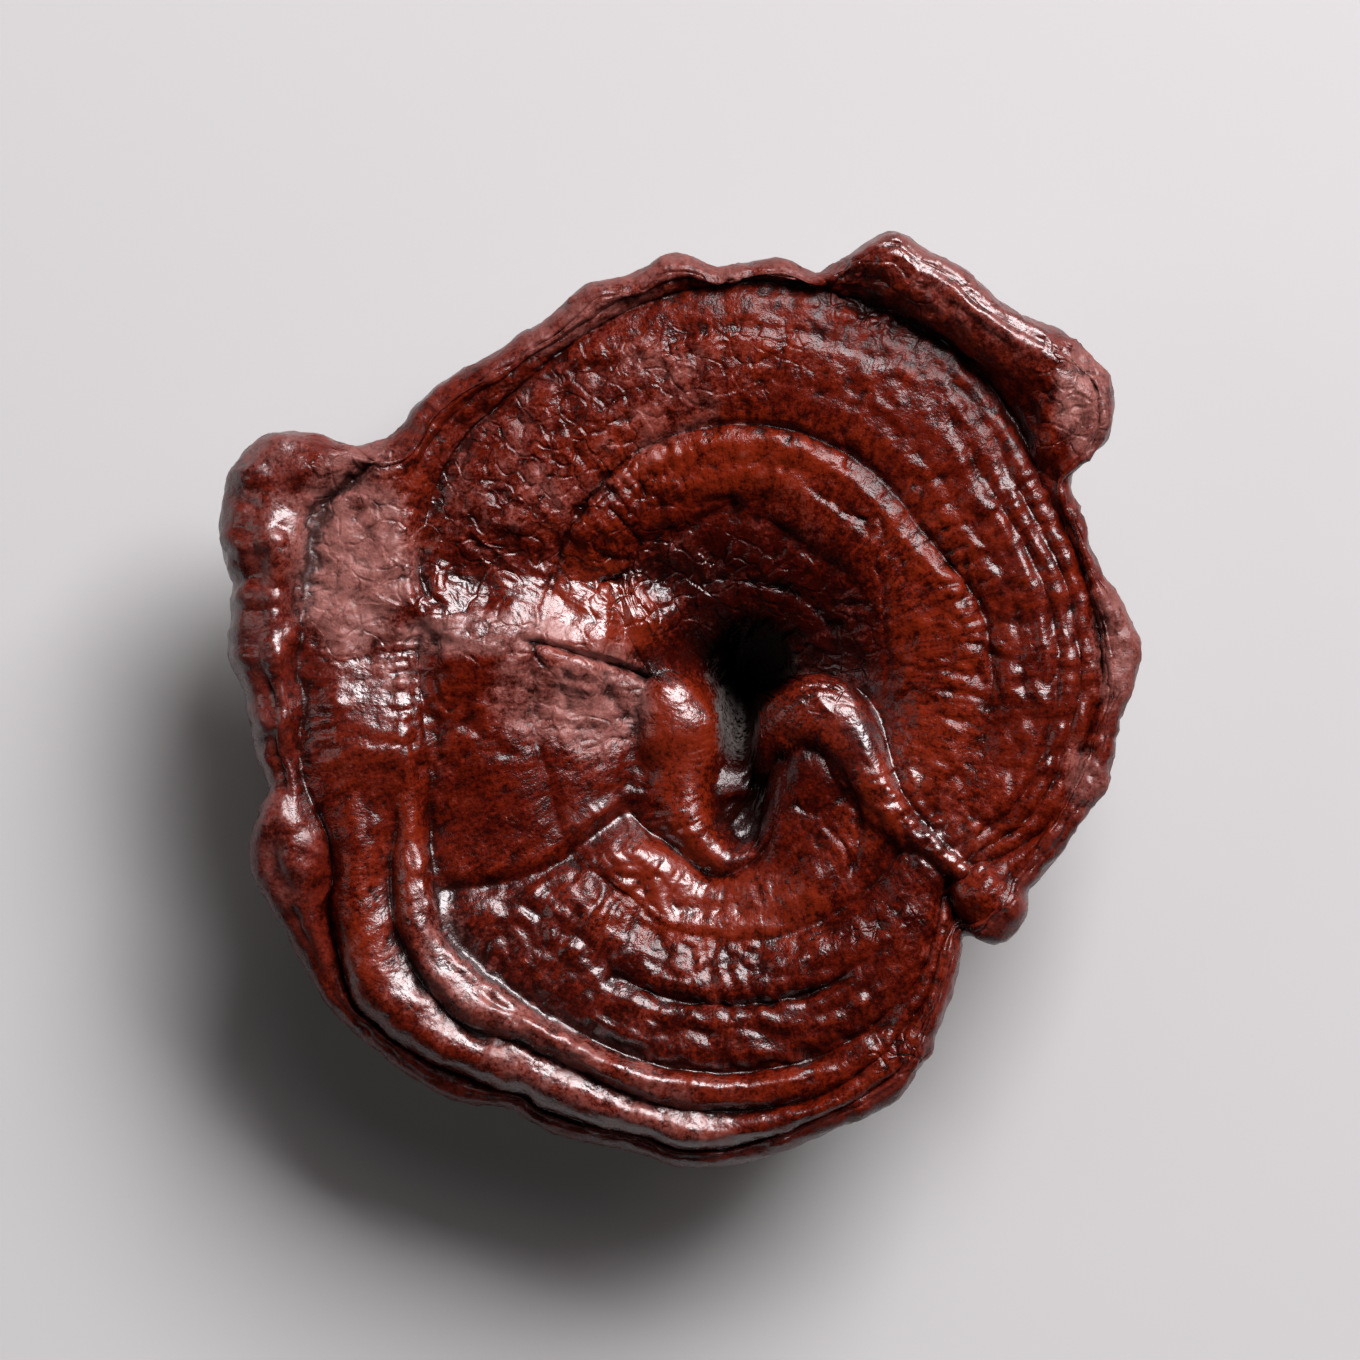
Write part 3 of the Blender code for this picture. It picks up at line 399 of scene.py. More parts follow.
# Painted shade: patches where the lacquer is painted darker because they lie in shade, such as the body below
# the hook, the pool, the funnel and the lower panel
PAINTED_SHADE_PATCHES = (
    (890, 890, 55, 60, 0, 1.0), (740, 812, 36, 48, 0, 0.5), (820, 805, 40, 56, 0, 0.8),
    (530, 800, 90, 60, 0, 0.6), (760, 575, 110, 50, 0, 0.7), (700, 1000, 190, 50, 0, 1.0),
    (520, 940, 80, 70, 20, 0.9), (470, 530, 50, 50, 0, 0.6), (1030, 380, 30, 60, 40, 0.5),
    (860, 600, 36, 80, 0, 0.7),
)
CHALKY = ((731, 722, 15, 40, 8, 1.0), (716, 676, 12, 22, 20, 0.6), (744, 640, 10, 22, 0, 0.4))

PATCHES = {
    "wrinkled": WRINKLED, "blistered": BLISTERED, "gravelly": GRAVELLY, "dusty": DUST_AND_PAINTED_SHEEN_PATCHES, "ember": YOUNG_AND_PAINTED_LIGHT_PATCHES,
    "smooth": SMOOTH, "glossy": GLOSSY, "chalky": CHALKY, "umber": PAINTED_SHADE_PATCHES, "pit": PIT_SHADE,
}

# The masks that the lacquer reads from the mesh
READ_MASKS = (
    "growth", "hollow", "wrinkled", "gravelly", "dusty", "ember", "glossy", "chalky", "umber", "pit")

# Steps from one point of a path to the next when it is made smooth
PATH_STEPS = 5

# Degrees over which growth rolls and soft lines run out, and how far past its ellipse a lean fades out
ROLL_RUNOUT = 12.0
SOFT_LINE_RUNOUT = 15.0
LEAN_FADE = 1.2

# How often heights are averaged to soften the growth lines, and to find the hollows
LINE_PASSES = 14
HOLLOW_PASSES = 30

# Growth counts the lines from the pit, 0, to the margin, 7, its underside, 8, the stem, 9, and the cut, 10.
# Pairs are where a part of the flesh starts to show and where it shows in full.
MARGIN_MIDDLE = 7.5
CUT_LINE = 10.0
PIT_SHADE_FADE = (1.4, 2.3)
# Where the painted shade deep in the pit wall fades out
RING_FLESH = (1.6, 2.4)
DISC_FLESH = (2.1, 3.0)
RIM = (5.8, 7.3)
PORES = (7.75, 8.15)
STEM_BARK = (8.55, 8.95)
CUT = (9.96, 10.02)

# Noises in the lacquer: (scale per metre, detail, roughness). The centred ones run from about -0.5 to 0.5.
CENTRED_NOISES = {"mottle": (240.0, 4.5, 0.7), "speckle": (1500.0, 3.0, 0.8), "clouds": (45.0, 2.0, 0.5)}
PLAIN_NOISES = {
    "peel": (480.0, 2.5, 0.5), "pimples": (1200.0, 2.0, 0.6), "grain": (2600.0, 2.0, 0.7),
    "fibres": (700.0, 3.0, 0.7), "pore_stains": (60.0, 2.0, 0.6),
}

# Noises drawn out along the growth: (scale round the pit, round it and outwards, then detail, roughness)
STREAKS = ((40.0, 40.0, 3.0), 4.0, 0.7)
FLUTES = ((42.0, 42.0, 2.5), 3.0, 0.6)

# Cells per metre of the pores and of the cracked lacquer's plates, whose edges a noise bends: (scale, detail,
# reach)
PLATE_SCALE = 330.0
PLATE_BEND = (240.0, 1.0, 0.004)
PORE_SCALE = 2600.0

# Lights: (name, the setting that holds its power, place and size in metres, colour), and where they point
LIGHTS = (
    ("key_light", "key_power", (0.72, 1.15, 1.25), (1.20, 0.90), (1.0, 0.94, 0.96)),
    ("wide_light", "wide_power", (0.76, 1.21, 1.32), (2.40, 2.20), (1.0, 0.80, 0.83)),
    ("side_light", "side_power", (-1.30, 0.20, 0.85), (0.40, 1.00), (1.0, 0.97, 0.97)),
)
LIGHTS_AIM = (0.0, 0.0, 0.03)


def turned(rows, angles, column=1):
    """A closed curve through rows that start with an angle, without overshoot, read at the angles."""
    known = np.array([row[0] for row in rows], float)
    value = np.array([row[column] for row in rows], float)
    known = np.concatenate((known[-2:] - 360.0, known, known[:2] + 360.0))
    value = np.concatenate((value[-2:], value, value[:2]))
    span = np.diff(known)
    rise = np.diff(value) / span
    slope = np.zeros_like(value)
    same_way = rise[:-1] * rise[1:] > 0.0
    harmonic = 2.0 * rise[:-1] * rise[1:] / np.where(same_way, rise[:-1] + rise[1:], 1.0)
    slope[1:-1] = np.where(same_way, harmonic, 0.0)
    place = np.clip(np.searchsorted(known, angles, side="right") - 1, 0, len(span) - 1)
    t = (angles - known[place]) / span[place]
    ease = t * t * (3.0 - 2.0 * t)
    bend = t * (1.0 - t) * span[place] * ((1.0 - t) * slope[place] - t * slope[place + 1])
    return value[place] * (1.0 - ease) + value[place + 1] * ease + bend


def metres(path):
    """Picture points as metres in the frame."""
    return (np.array(path, float) - CAP_CENTRE_PIXELS) * (PIXEL, -PIXEL)


def smooth_path(points):
    """A Catmull-Rom curve through the points."""
    ends = np.vstack((2 * points[0] - points[1], points, 2 * points[-1] - points[-2]))
    curve = []
    for before, start, end, after in zip(ends, ends[1:], ends[2:], ends[3:]):
        for t in np.arange(PATH_STEPS) / PATH_STEPS:
            curve.append(0.5 * (
                2 * start + (end - before) * t + (2 * before - 5 * start + 4 * end - after) * t ** 2
                + (3 * start - before - 3 * end + after) * t ** 3))
    curve.append(points[-1])
    return np.array(curve)


def beside_path(x, y, curve):
    """The distance to a curve, the side of it (1 left, -1 right) and how far along it, 0 to 1."""
    nearest = np.full(x.shape, np.inf)
    side = np.zeros(x.shape)
    along = np.zeros(x.shape)
    pieces = len(curve) - 1
    for index in range(pieces):
        start, step = curve[index], curve[index + 1] - curve[index]
        t = np.clip(((x - start[0]) * step[0] + (y - start[1]) * step[1]) / (step @ step), 0.0, 1.0)
        dx = x - start[0] - t * step[0]
        dy = y - start[1] - t * step[1]
        distance = np.hypot(dx, dy)
        closer = distance < nearest
        nearest = np.where(closer, distance, nearest)
        side = np.where(
            closer, (step[0] * dy - step[1] * dx) / np.maximum(distance * np.hypot(*step), 1e-12), side)
        along = np.where(closer, (index + t) / pieces, along)
    return nearest, side, along


def fold_height(x, y, start_height, end_height, left, right, path):
    """The height that one fold adds: a rounded ridge or groove that runs out at its two ends."""
    distance, side, along = beside_path(x, y, smooth_path(metres(path)))
    width = (0.5 * (left + right) + 0.5 * (left - right) * side) * MM
    height = (start_height + (end_height - start_height) * along) * MM
    ends = np.clip(np.minimum(along, 1.0 - along) / 0.12 + 0.35, 0.0, 1.0)
    return height * ends * np.exp(-(distance / width) ** 2)


def with_roll(x, y, height, depth, fullness, blend, path):
    """The height with one roll laid over it: an ellipse across its path (fullness 2) or a boxier hump."""
    rows = smooth_path(np.array(path, float))
    distance, side, along = beside_path(x, y, metres(rows[:, :2]))
    crest, left, right = (
        np.interp(along, np.linspace(0.0, 1.0, len(rows)), rows[:, column]) * MM for column in (2, 3, 4))
    across = np.minimum(distance / (0.5 * (left + right) + 0.5 * (left - right) * side), 1.0)
    roll = crest - depth * MM * (1.0 - np.sqrt(1.0 - across ** fullness))
    overlap = np.maximum(1.0 - np.abs(roll - height) / (blend * MM), 0.0)
    laid = np.maximum(height, roll) + overlap ** 2 * blend * MM / 4.0
    return np.where(across < 1.0, laid, height)


def ellipse_reach(x, y, across, down, half_width, half_height, turn):
    """How far out each point lies in a turned ellipse, 1 on its outline, with its steps from the middle."""
    centre = metres((across, down))
    dx, dy = x - centre[0], y - centre[1]
    cos, sin = math.cos(math.radians(turn)), math.sin(math.radians(turn))
    u = (dx * cos + dy * sin) / (half_width * PIXEL)
    v = (dy * cos - dx * sin) / (half_height * PIXEL)
    return np.hypot(u, v), dx, dy


def lean_height(x, y, across, down, half_width, half_height, turn, slope, towards):
    """What a lean adds: a tilted plane that fades out past the patch."""
    reach, dx, dy = ellipse_reach(x, y, across, down, half_width, half_height, turn)
    fall = dx * math.cos(math.radians(towards)) + dy * math.sin(math.radians(towards))
    return -slope * fall * np.exp(-(reach / LEAN_FADE) ** 4)


def folds_height(x, y, folds):
    """The height that folds add, each worked out only where its box and a margin reach."""
    total = np.zeros(x.shape)
    for fold in folds:
        points = metres(fold[-1])
        reach = 4.0 * max(fold[2], fold[3]) * MM
        inside = (
            (x > points[:, 0].min() - reach) & (x < points[:, 0].max() + reach)
            & (y > points[:, 1].min() - reach) & (y < points[:, 1].max() + reach))
        total[inside] += fold_height(x[inside], y[inside], *fold)
    return total


def rung_paths():
    """The short wrinkles of RUNGS, as folds that vary a little in place, length and lean."""
    folds = []
    for count, half_length, height, width, path in RUNGS:
        curve = smooth_path(np.array(path, float))
        for index in range(count):
            place = (index + 0.5 + 0.3 * math.sin(7.0 * index)) / count * (len(curve) - 2)
            start = int(place)
            step = curve[start + 1] - curve[start]
            ahead = step / np.hypot(*step)
            length = half_length * (0.8 + 0.3 * math.cos(5.0 * index))
            across = np.array((ahead[1], -ahead[0])) * length
            middle = curve[start] + step * (place - start)
            lean = ahead * 3.0 * math.sin(3.0 * index)
            folds.append((height, height, width, width, (middle - across, middle + lean, middle + across)))
    return folds


def patches(x, y, spots):
    """How far inside the soft patches each point lies, 0 to 1."""
    most = np.zeros(x.shape)
    for *ellipse, strength in spots:
        reach = ellipse_reach(x, y, *ellipse)[0]
        most = np.maximum(most, strength * np.clip(1.6 - 0.8 * reach ** 2, 0.0, 1.0))
    return most


NOISE_ORDER = np.random.default_rng(7).permutation(256)
NOISE_SLOPES = np.random.default_rng(8).normal(size=(256, 3))
NOISE_SLOPES /= np.linalg.norm(NOISE_SLOPES, axis=1, keepdims=True)


def noise(points, seed):
    """Smooth gradient noise at the points, about -1 to 1."""
    cell = np.floor(points).astype(int)
    part = points - cell
    ease = part ** 3 * (part * (part * 6.0 - 15.0) + 10.0)
    total = np.zeros(points.shape[:-1])
    for corner in product((0, 1), repeat=3):
        key = NOISE_ORDER[(cell[..., 0] + corner[0] + seed) & 255]
        key = NOISE_ORDER[(key + cell[..., 1] + corner[1]) & 255]
        key = NOISE_ORDER[(key + cell[..., 2] + corner[2]) & 255]
        weight = np.ones(total.shape)
        for axis in range(3):
            weight *= ease[..., axis] if corner[axis] else 1.0 - ease[..., axis]
        total += weight * np.sum(NOISE_SLOPES[key] * (part - corner), axis=-1)
    return total * 1.6


def domes(points, seed):
    """Rounded bumps with creases between them, 0 to 1: one jittered dome to each cell of a lattice."""
    cell = np.floor(points).astype(int)
    nearest = np.full(points.shape[:-1], 9.0)
    for corner in product((-1, 0, 1), repeat=3):
        home = cell + corner
        key = NOISE_ORDER[(home[..., 0] + seed) & 255]
        key = NOISE_ORDER[(key + home[..., 1]) & 255]
        key = NOISE_ORDER[(key + home[..., 2]) & 255]
        centre = home + 0.5 + 0.35 * NOISE_SLOPES[key]
        nearest = np.minimum(nearest, np.linalg.norm(points - centre, axis=-1))
    return np.clip(1.0 - nearest ** 2 / 0.8, 0.0, 1.0)


def margin_angles(count):
    """Angles round the pit that are evenly spaced along the margin."""
    angles = np.linspace(0.0, 360.0, 1441)
    radius = turned(MARGIN, angles % 360.0)
    x = radius * np.cos(np.radians(angles))
    y = radius * np.sin(np.radians(angles))
    length = np.concatenate(([0.0], np.cumsum(np.hypot(np.diff(x), np.diff(y)))))
    return np.interp(np.arange(count) * length[-1] / count, length, angles)


def growth_rolls(band, t, turn):
    """The height of the growth rolls at this place across a band, for each angle."""
    height = np.zeros_like(turn)
    for roll_band, place, width, roll, first, last in GROWTH_ROLLS:
        if roll_band != band:
            continue
        middle, half = 0.5 * (first + last), 0.5 * (last - first)
        away = np.abs((turn - middle + 180.0) % 360.0 - 180.0)
        window = np.clip((half - away) / ROLL_RUNOUT, 0.0, 1.0)
        height += roll * MM * window * math.exp(-((t - place) / width) ** 2)
    return height


def top_rings(angles, margin, rounding):
    """Angle, radius, height and growth of each ring from the pit floor out to where the margin rounds.

    The outer lines keep a share of the space between them, so that they never cross where it is narrow.
    """
    edge = margin - rounding
    inner = [
        (turned(line, (angles + turn) % 360.0) * PIXEL, turned(line, (angles + turn) % 360.0, 2) * MM)
        for line, turn in zip((PIT_MOUTH, INNER_LIP, RING_LINE), LINE_TURNS[1:])]
    groove = turned(DISC_GROOVE, angles) * PIXEL
    roll = edge - groove
    lip = np.clip(turned(LIP_GROOVE, angles) * PIXEL, groove + 0.3 * roll, edge - 0.05 * roll)
    inner_roll = lip - groove
    fold = np.clip(turned(FOLD_GROOVE, angles) * PIXEL, groove + 0.1 * inner_roll, lip - 0.1 * inner_roll)
    outer = [
        (groove, turned(DISC_GROOVE, angles, 2) * MM), (fold, turned(FOLD_GROOVE, angles, 2) * MM),
        (lip, turned(LIP_GROOVE, angles, 2) * MM), (edge, turned(ROUNDING, angles, 3) * MM)]
    lines = [(np.zeros_like(angles), np.full_like(angles, PIT_FLOOR_HEIGHT))] + inner + outer
    rings = []
    for band, count in enumerate(RINGS_TO_LINE):
        for step in range(1, count + 1):
            t = step / count
            turn = angles + LINE_TURNS[band] * (1.0 - t) + LINE_TURNS[band + 1] * t
            swell = 0.0 if SWELLS[band] is None else turned(SWELLS[band], turn % 360.0) * MM
            rise = t ** SWELL_SKEW[band]
            bulge = swell * (4.0 * rise * (1.0 - rise)) ** SWELL_SHARPNESS[band] + growth_rolls(band, t, turn)
            radius = lines[band][0] * (1.0 - t) + lines[band + 1][0] * t
            height = lines[band][1] * (1.0 - t) + lines[band + 1][1] * t + bulge
            rings.append((turn, radius, height, band + t))
    return rings


def stem_radius(angles):
    """The stem's slightly lumpy outline."""
    turn = np.radians(angles)
    return STEM_RADIUS * (1.0 + 0.05 * np.cos(2 * turn + 0.6) + 0.03 * np.cos(3 * turn - 1.1))


def lower_rings(angles, margin, rounding, half, top):
    """Rings round the margin, in under the cap, down the stem and in over its cut.

    Each is a radius, a height, the share of the stem's lean and the growth, which goes on past the margin:
    8 where the pores start, 9 at the stem, 10 at the cut and 11 in the middle of the cut.
    """
    edge = margin - rounding
    rings = []
    for step in range(1, MARGIN_RINGS + 1):
        turn = math.pi * step / MARGIN_RINGS
        rings.append((
            edge + rounding * math.sin(turn) ** 0.85, top - half * (1.0 - math.cos(turn)), 0.0,
            7.0 + step / MARGIN_RINGS))
    below = top - 2.0 * half
    stem = stem_radius(angles)
    for step in range(1, UNDERSIDE_RINGS + 1):
        t = step / UNDERSIDE_RINGS
        first, second, third, last = (1 - t) ** 3, 3 * t * (1 - t) ** 2, 3 * t * t * (1 - t), t ** 3
        radius = first * edge + second * (0.42 * edge + 0.58 * stem) + (third + last) * stem
        height = (
            first * below + second * (below - UNDERSIDE_SAG) + third * UNDERSIDE_TURN_HEIGHT
            + last * STEM_NECK_HEIGHT)
        rings.append((radius, height, 0.6 * t * t, 8.0 + t))
    for step in range(1, STEM_RINGS + 1):
        t = step / STEM_RINGS
        level = np.full_like(angles, STEM_NECK_HEIGHT * (1.0 - t))
        rings.append((stem * (1.0 - 0.02 * t), level, 0.6 + 0.4 * t, 9.0 + t))
    for step in range(1, CUT_RINGS + 1):
        t = step / (CUT_RINGS + 1)
        rings.append((stem * 0.98 * (1.0 - t), np.zeros_like(angles), 1.0, 10.0 + t))
    return rings


def ring_points(centre, angles, radius, height):
    turn = np.radians(angles)
    return np.stack((centre[0] + radius * np.cos(turn), centre[1] + radius * np.sin(turn), height), axis=1)


def cap_surface(count):
    """The smooth surface as an array of rings, samples and x, y, z, with each point's growth and angle."""
    angles = margin_angles(count)
    margin = turned(MARGIN, angles) * PIXEL
    rounding = turned(ROUNDING, angles) * PIXEL
    half = turned(ROUNDING, angles, 2) * MM
    top = turned(ROUNDING, angles, 3) * MM
    pit, cut = metres((PIT_PIXELS, STEM_CUT_PIXELS))
    upper = top_rings(angles, margin, rounding)
    rings = [ring_points(pit, *ring[:3]) for ring in upper]
    growth = [ring[3] for ring in upper]
    turns = [ring[0] for ring in upper]
    for radius, height, lean, grown in lower_rings(angles, margin, rounding, half, top):
        rings.append(ring_points(pit + (cut - pit) * lean, angles, radius, height))
        growth.append(grown)
        turns.append(angles)
    surface = np.array(rings)
    raised = surface[:len(upper)]
    level = softened(raised[:, :, 2], LINE_PASSES) - raised[:, :, 2]
    grown_by = np.array(growth[:len(upper)])[:, None]
    for line, reach, middle, half_angle in SOFT_LINES:
        away = np.abs((np.array(turns[:len(upper)]) - middle + 180.0) % 360.0 - 180.0)
        window = np.clip((half_angle - away) / SOFT_LINE_RUNOUT + (half_angle >= 180), 0.0, 1.0)
        raised[:, :, 2] += np.exp(-((grown_by - line) / reach) ** 2) * window * level
    before = raised[:, :, 2].copy()
    x, y = raised[:, :, 0], raised[:, :, 1]
    raised[:, :, 2] += folds_height(x, y, FOLDS)
    for place in LEANS:
        raised[:, :, 2] += lean_height(x, y, *place)
    for shape in ROLLS:
        raised[:, :, 2] = with_roll(x, y, raised[:, :, 2], *shape)
    raised[:, :, 2] += folds_height(x, y, list(ROLL_CREASES) + rung_paths())
    lift = (raised[:, :, 2] - before)[-1]
    for step in range(MARGIN_RINGS - 1):
        surface[len(upper) + step, :, 2] += lift * (1.0 - (step + 1) / MARGIN_RINGS)
    return surface, np.repeat(np.array(growth)[:, None], count, axis=1), np.array(turns)


def surface_normals(surface):
    """Unit normals of a ring surface, pointing out of the flesh."""
    around = np.roll(surface, -1, axis=1) - np.roll(surface, 1, axis=1)
    across = np.gradient(surface, axis=0)
    normals = np.cross(across, around)
    return normals / np.maximum(np.linalg.norm(normals, axis=2, keepdims=True), 1e-12)


def softened(values, passes):
    """Values averaged with their neighbours, ring by ring and round each ring."""
    for _ in range(passes):
        rows = np.concatenate((values[:1], values, values[-1:]))
        values = (rows[:-2] + 2.0 * rows[1:-1] + rows[2:]) / 4.0
        values = (np.roll(values, 1, axis=1) + 2.0 * values + np.roll(values, -1, axis=1)) / 4.0
    return values


def fine_relief(surface, growth, turns, masks):
    """Height along the normal, in mm, of the flesh's lumps, flutes, ripples, blisters and wrinkles.

    Each is a height times a noise, whose size in mm divides the place and whose last number is its seed.
    """
    place = surface / MM
    turn = np.radians(turns)
    pit = metres((PIT_PIXELS,))[0]
    radius = np.hypot(surface[:, :, 0] - pit[0], surface[:, :, 1] - pit[1]) / MM
    drift = np.stack((noise(place / 6.0, 11), noise(place / 6.0, 12), noise(place / 6.0, 13)), axis=2)
    polar = np.stack((30.0 * np.cos(turn), 30.0 * np.sin(turn), radius), axis=2) + 1.5 * drift
    warped = place + 2.2 * drift
    on_top = np.clip((8.0 - growth) / 0.6, 0.0, 1.0)
    away = np.clip((radius - 15.0) / 12.0, 0.0, 1.0)
    lumps = 0.30 * noise(place / 8.0, 1)
    lumps += 0.38 * np.abs(noise(warped / 4.6, 2)) + 0.28 * np.abs(noise(warped / 2.4, 3))
    flutes = 0.20 * noise(polar / (1.9, 1.9, 9.0), 4)
    ripples = 0.20 * noise(polar / (9.0, 9.0, 1.9), 5)
    blisters = domes((polar + 2.6 * drift[:, :, ::-1]) / (2.9, 2.9, 2.6), 6) ** 1.3 - 0.3
    wrinkles = 1.5 * (0.35 - np.abs(noise(warped / 4.2, 7)))
    wrinkles += 0.9 * (0.35 - np.abs(noise(warped / 2.4, 9)))
    grit = 0.45 * np.maximum(noise(place / 1.3, 8), -0.2)
    beside_line = np.clip(np.abs(growth - 3.0) / 0.12, 0.35, 1.0)
    calm = 1.0 - 0.65 * masks["smooth"]
    height = lumps * (0.4 + 0.6 * on_top) * beside_line * calm + (flutes + ripples) * away * on_top * calm
    edge = 0.35 * np.clip((growth - 6.2) / 0.6, 0.0, 1.0)
    height += (blisters * masks["blistered"] * away + wrinkles * np.maximum(masks["wrinkled"], edge)) * on_top
    height += grit * masks["gravelly"] * on_top
    seated = np.clip((10.0 - growth) / 0.5, 0.0, 1.0)
    return height * MM * seated


def fruiting_body_arrays(count, relief):
    """The finished points, ring by ring, and what the lacquer reads from them."""
    surface, growth, turns = cap_surface(count)
    masks = {name: patches(surface[:, :, 0], surface[:, :, 1], spots) for name, spots in PATCHES.items()}
    height = fine_relief(surface, growth, turns, masks) * relief
    surface = surface + surface_normals(surface) * height[:, :, None]
    surface[growth >= CUT_LINE, 2] = 0.0
    depth = (softened(surface[:, :, 2], HOLLOW_PASSES) - surface[:, :, 2]) / MM
    # Hollows of the mesh, used to paint shade into creases and light onto crests
    masks["hollow"] = np.maximum(depth, -0.4) * (growth < MARGIN_MIDDLE)
    masks["growth"] = growth
    read = {name: masks[name] for name in READ_MASKS}
    read["around"] = np.stack((np.cos(np.radians(turns)), np.sin(np.radians(turns)), growth), axis=2)
    return surface, read


def ring_faces(rings, count):
    """Quads from ring to ring, and a fan of triangles to the point at each end."""
    first = np.arange(count)
    following = (first + 1) % count
    quads = []
    for ring in range(rings - 1):
        inner, outer = 1 + ring * count, 1 + (ring + 1) * count
        quads.append(np.stack((inner + first, outer + first, outer + following, inner + following), axis=1))
    faces = [tuple(quad) for quad in np.concatenate(quads).tolist()]
    faces += [(0, 1 + a, 1 + b) for a, b in zip(first.tolist(), following.tolist())]
    last, middle = 1 + (rings - 1) * count, 1 + rings * count
    faces += [(middle, last + b, last + a) for a, b in zip(first.tolist(), following.tolist())]
    return faces


class Weave:
    """A node tree under construction. One method makes any node."""

    def __init__(self, tree):
        self.tree = tree

    def node(self, kind, settings=None, **values):
        """Adds a node: its settings first, then the values or links of its sockets, by socket name."""
        made = self.tree.nodes.new(kind)
        for name, setting in (settings or {}).items():
            setattr(made, name, setting)
        for name, value in values.items():
            self.put(made.inputs[name.replace("_", " ")], value)
        return made

    def put(self, socket, value):
        if isinstance(value, Tone):
            self.tree.links.new(value.socket, socket)
        else:
            socket.default_value = value

    def attribute(self, name, output="Fac"):
        return Tone(self, self.node("ShaderNodeAttribute", {"attribute_name": name}).outputs[output])

    def mix(self, factor, low, high):
        """A colour between two colours, each a socket or a plain colour."""
        made = self.node("ShaderNodeMix", {"data_type": "RGBA"})
        for index, value in ((0, factor), (6, low), (7, high)):
            self.put(made.inputs[index], value if index == 0 or isinstance(value, Tone) else (*value, 1.0))
        return Tone(self, made.outputs[2])

    def stretch(self, vector, scale):
        """A vector multiplied by another, part by part."""
        made = self.node("ShaderNodeVectorMath", {"operation": "MULTIPLY"})
        self.put(made.inputs[0], vector)
        self.put(made.inputs[1], scale)
        return Tone(self, made.outputs[0])

    def swerve(self, vector, scale, detail, reach):
        """A vector that noise pushes about, so that cells made from it have wavy edges."""
        shift = self.node("ShaderNodeTexNoise", None, Vector=vector, Scale=scale, Detail=detail)
        made = self.node("ShaderNodeVectorMath", {"operation": "MULTIPLY_ADD"})
        for index, value in enumerate((Tone(self, shift.outputs["Color"]), (reach, reach, reach), vector)):
            self.put(made.inputs[index], value)
        return Tone(self, made.outputs[0])

    def noise(self, vector, scale, detail, roughness):
        made = self.node(
            "ShaderNodeTexNoise", None, Vector=vector, Scale=scale, Detail=detail, Roughness=roughness)
        return Tone(self, made.outputs["Fac"])

    def cells(self, vector, scale, feature="F1"):
        made = self.node("ShaderNodeTexVoronoi", {"feature": feature}, Vector=vector, Scale=scale)
        return Tone(self, made.outputs["Distance"])


class Tone:
    """A socket that can be added to, multiplied and so on, as a number."""

    def __init__(self, weave, socket):
        self.weave = weave
        self.socket = socket

    def maths(self, operation, first, second=None, clamp=False):
        made = self.weave.node("ShaderNodeMath", {"operation": operation, "use_clamp": clamp})
        self.weave.put(made.inputs[0], first)
        if second is not None:
            self.weave.put(made.inputs[1], second)
        return Tone(self.weave, made.outputs[0])

    def __add__(self, other):
        return self.maths("ADD", self, other)

    def __radd__(self, other):
        return self.maths("ADD", other, self)

    def __sub__(self, other):
        return self.maths("SUBTRACT", self, other)

    def __rsub__(self, other):
        return self.maths("SUBTRACT", other, self)

    def __mul__(self, other):
        return self.maths("MULTIPLY", self, other)

    def between(self, low, high):
        """0 at low, 1 at high and clamped past them."""
        smooth = {"interpolation_type": "SMOOTHSTEP"}
        made = self.weave.node("ShaderNodeMapRange", smooth, Value=self, From_Min=low, From_Max=high)
        return Tone(self.weave, made.outputs["Result"])

    def clamped(self):
        return self.maths("ADD", self, 0.0, clamp=True)


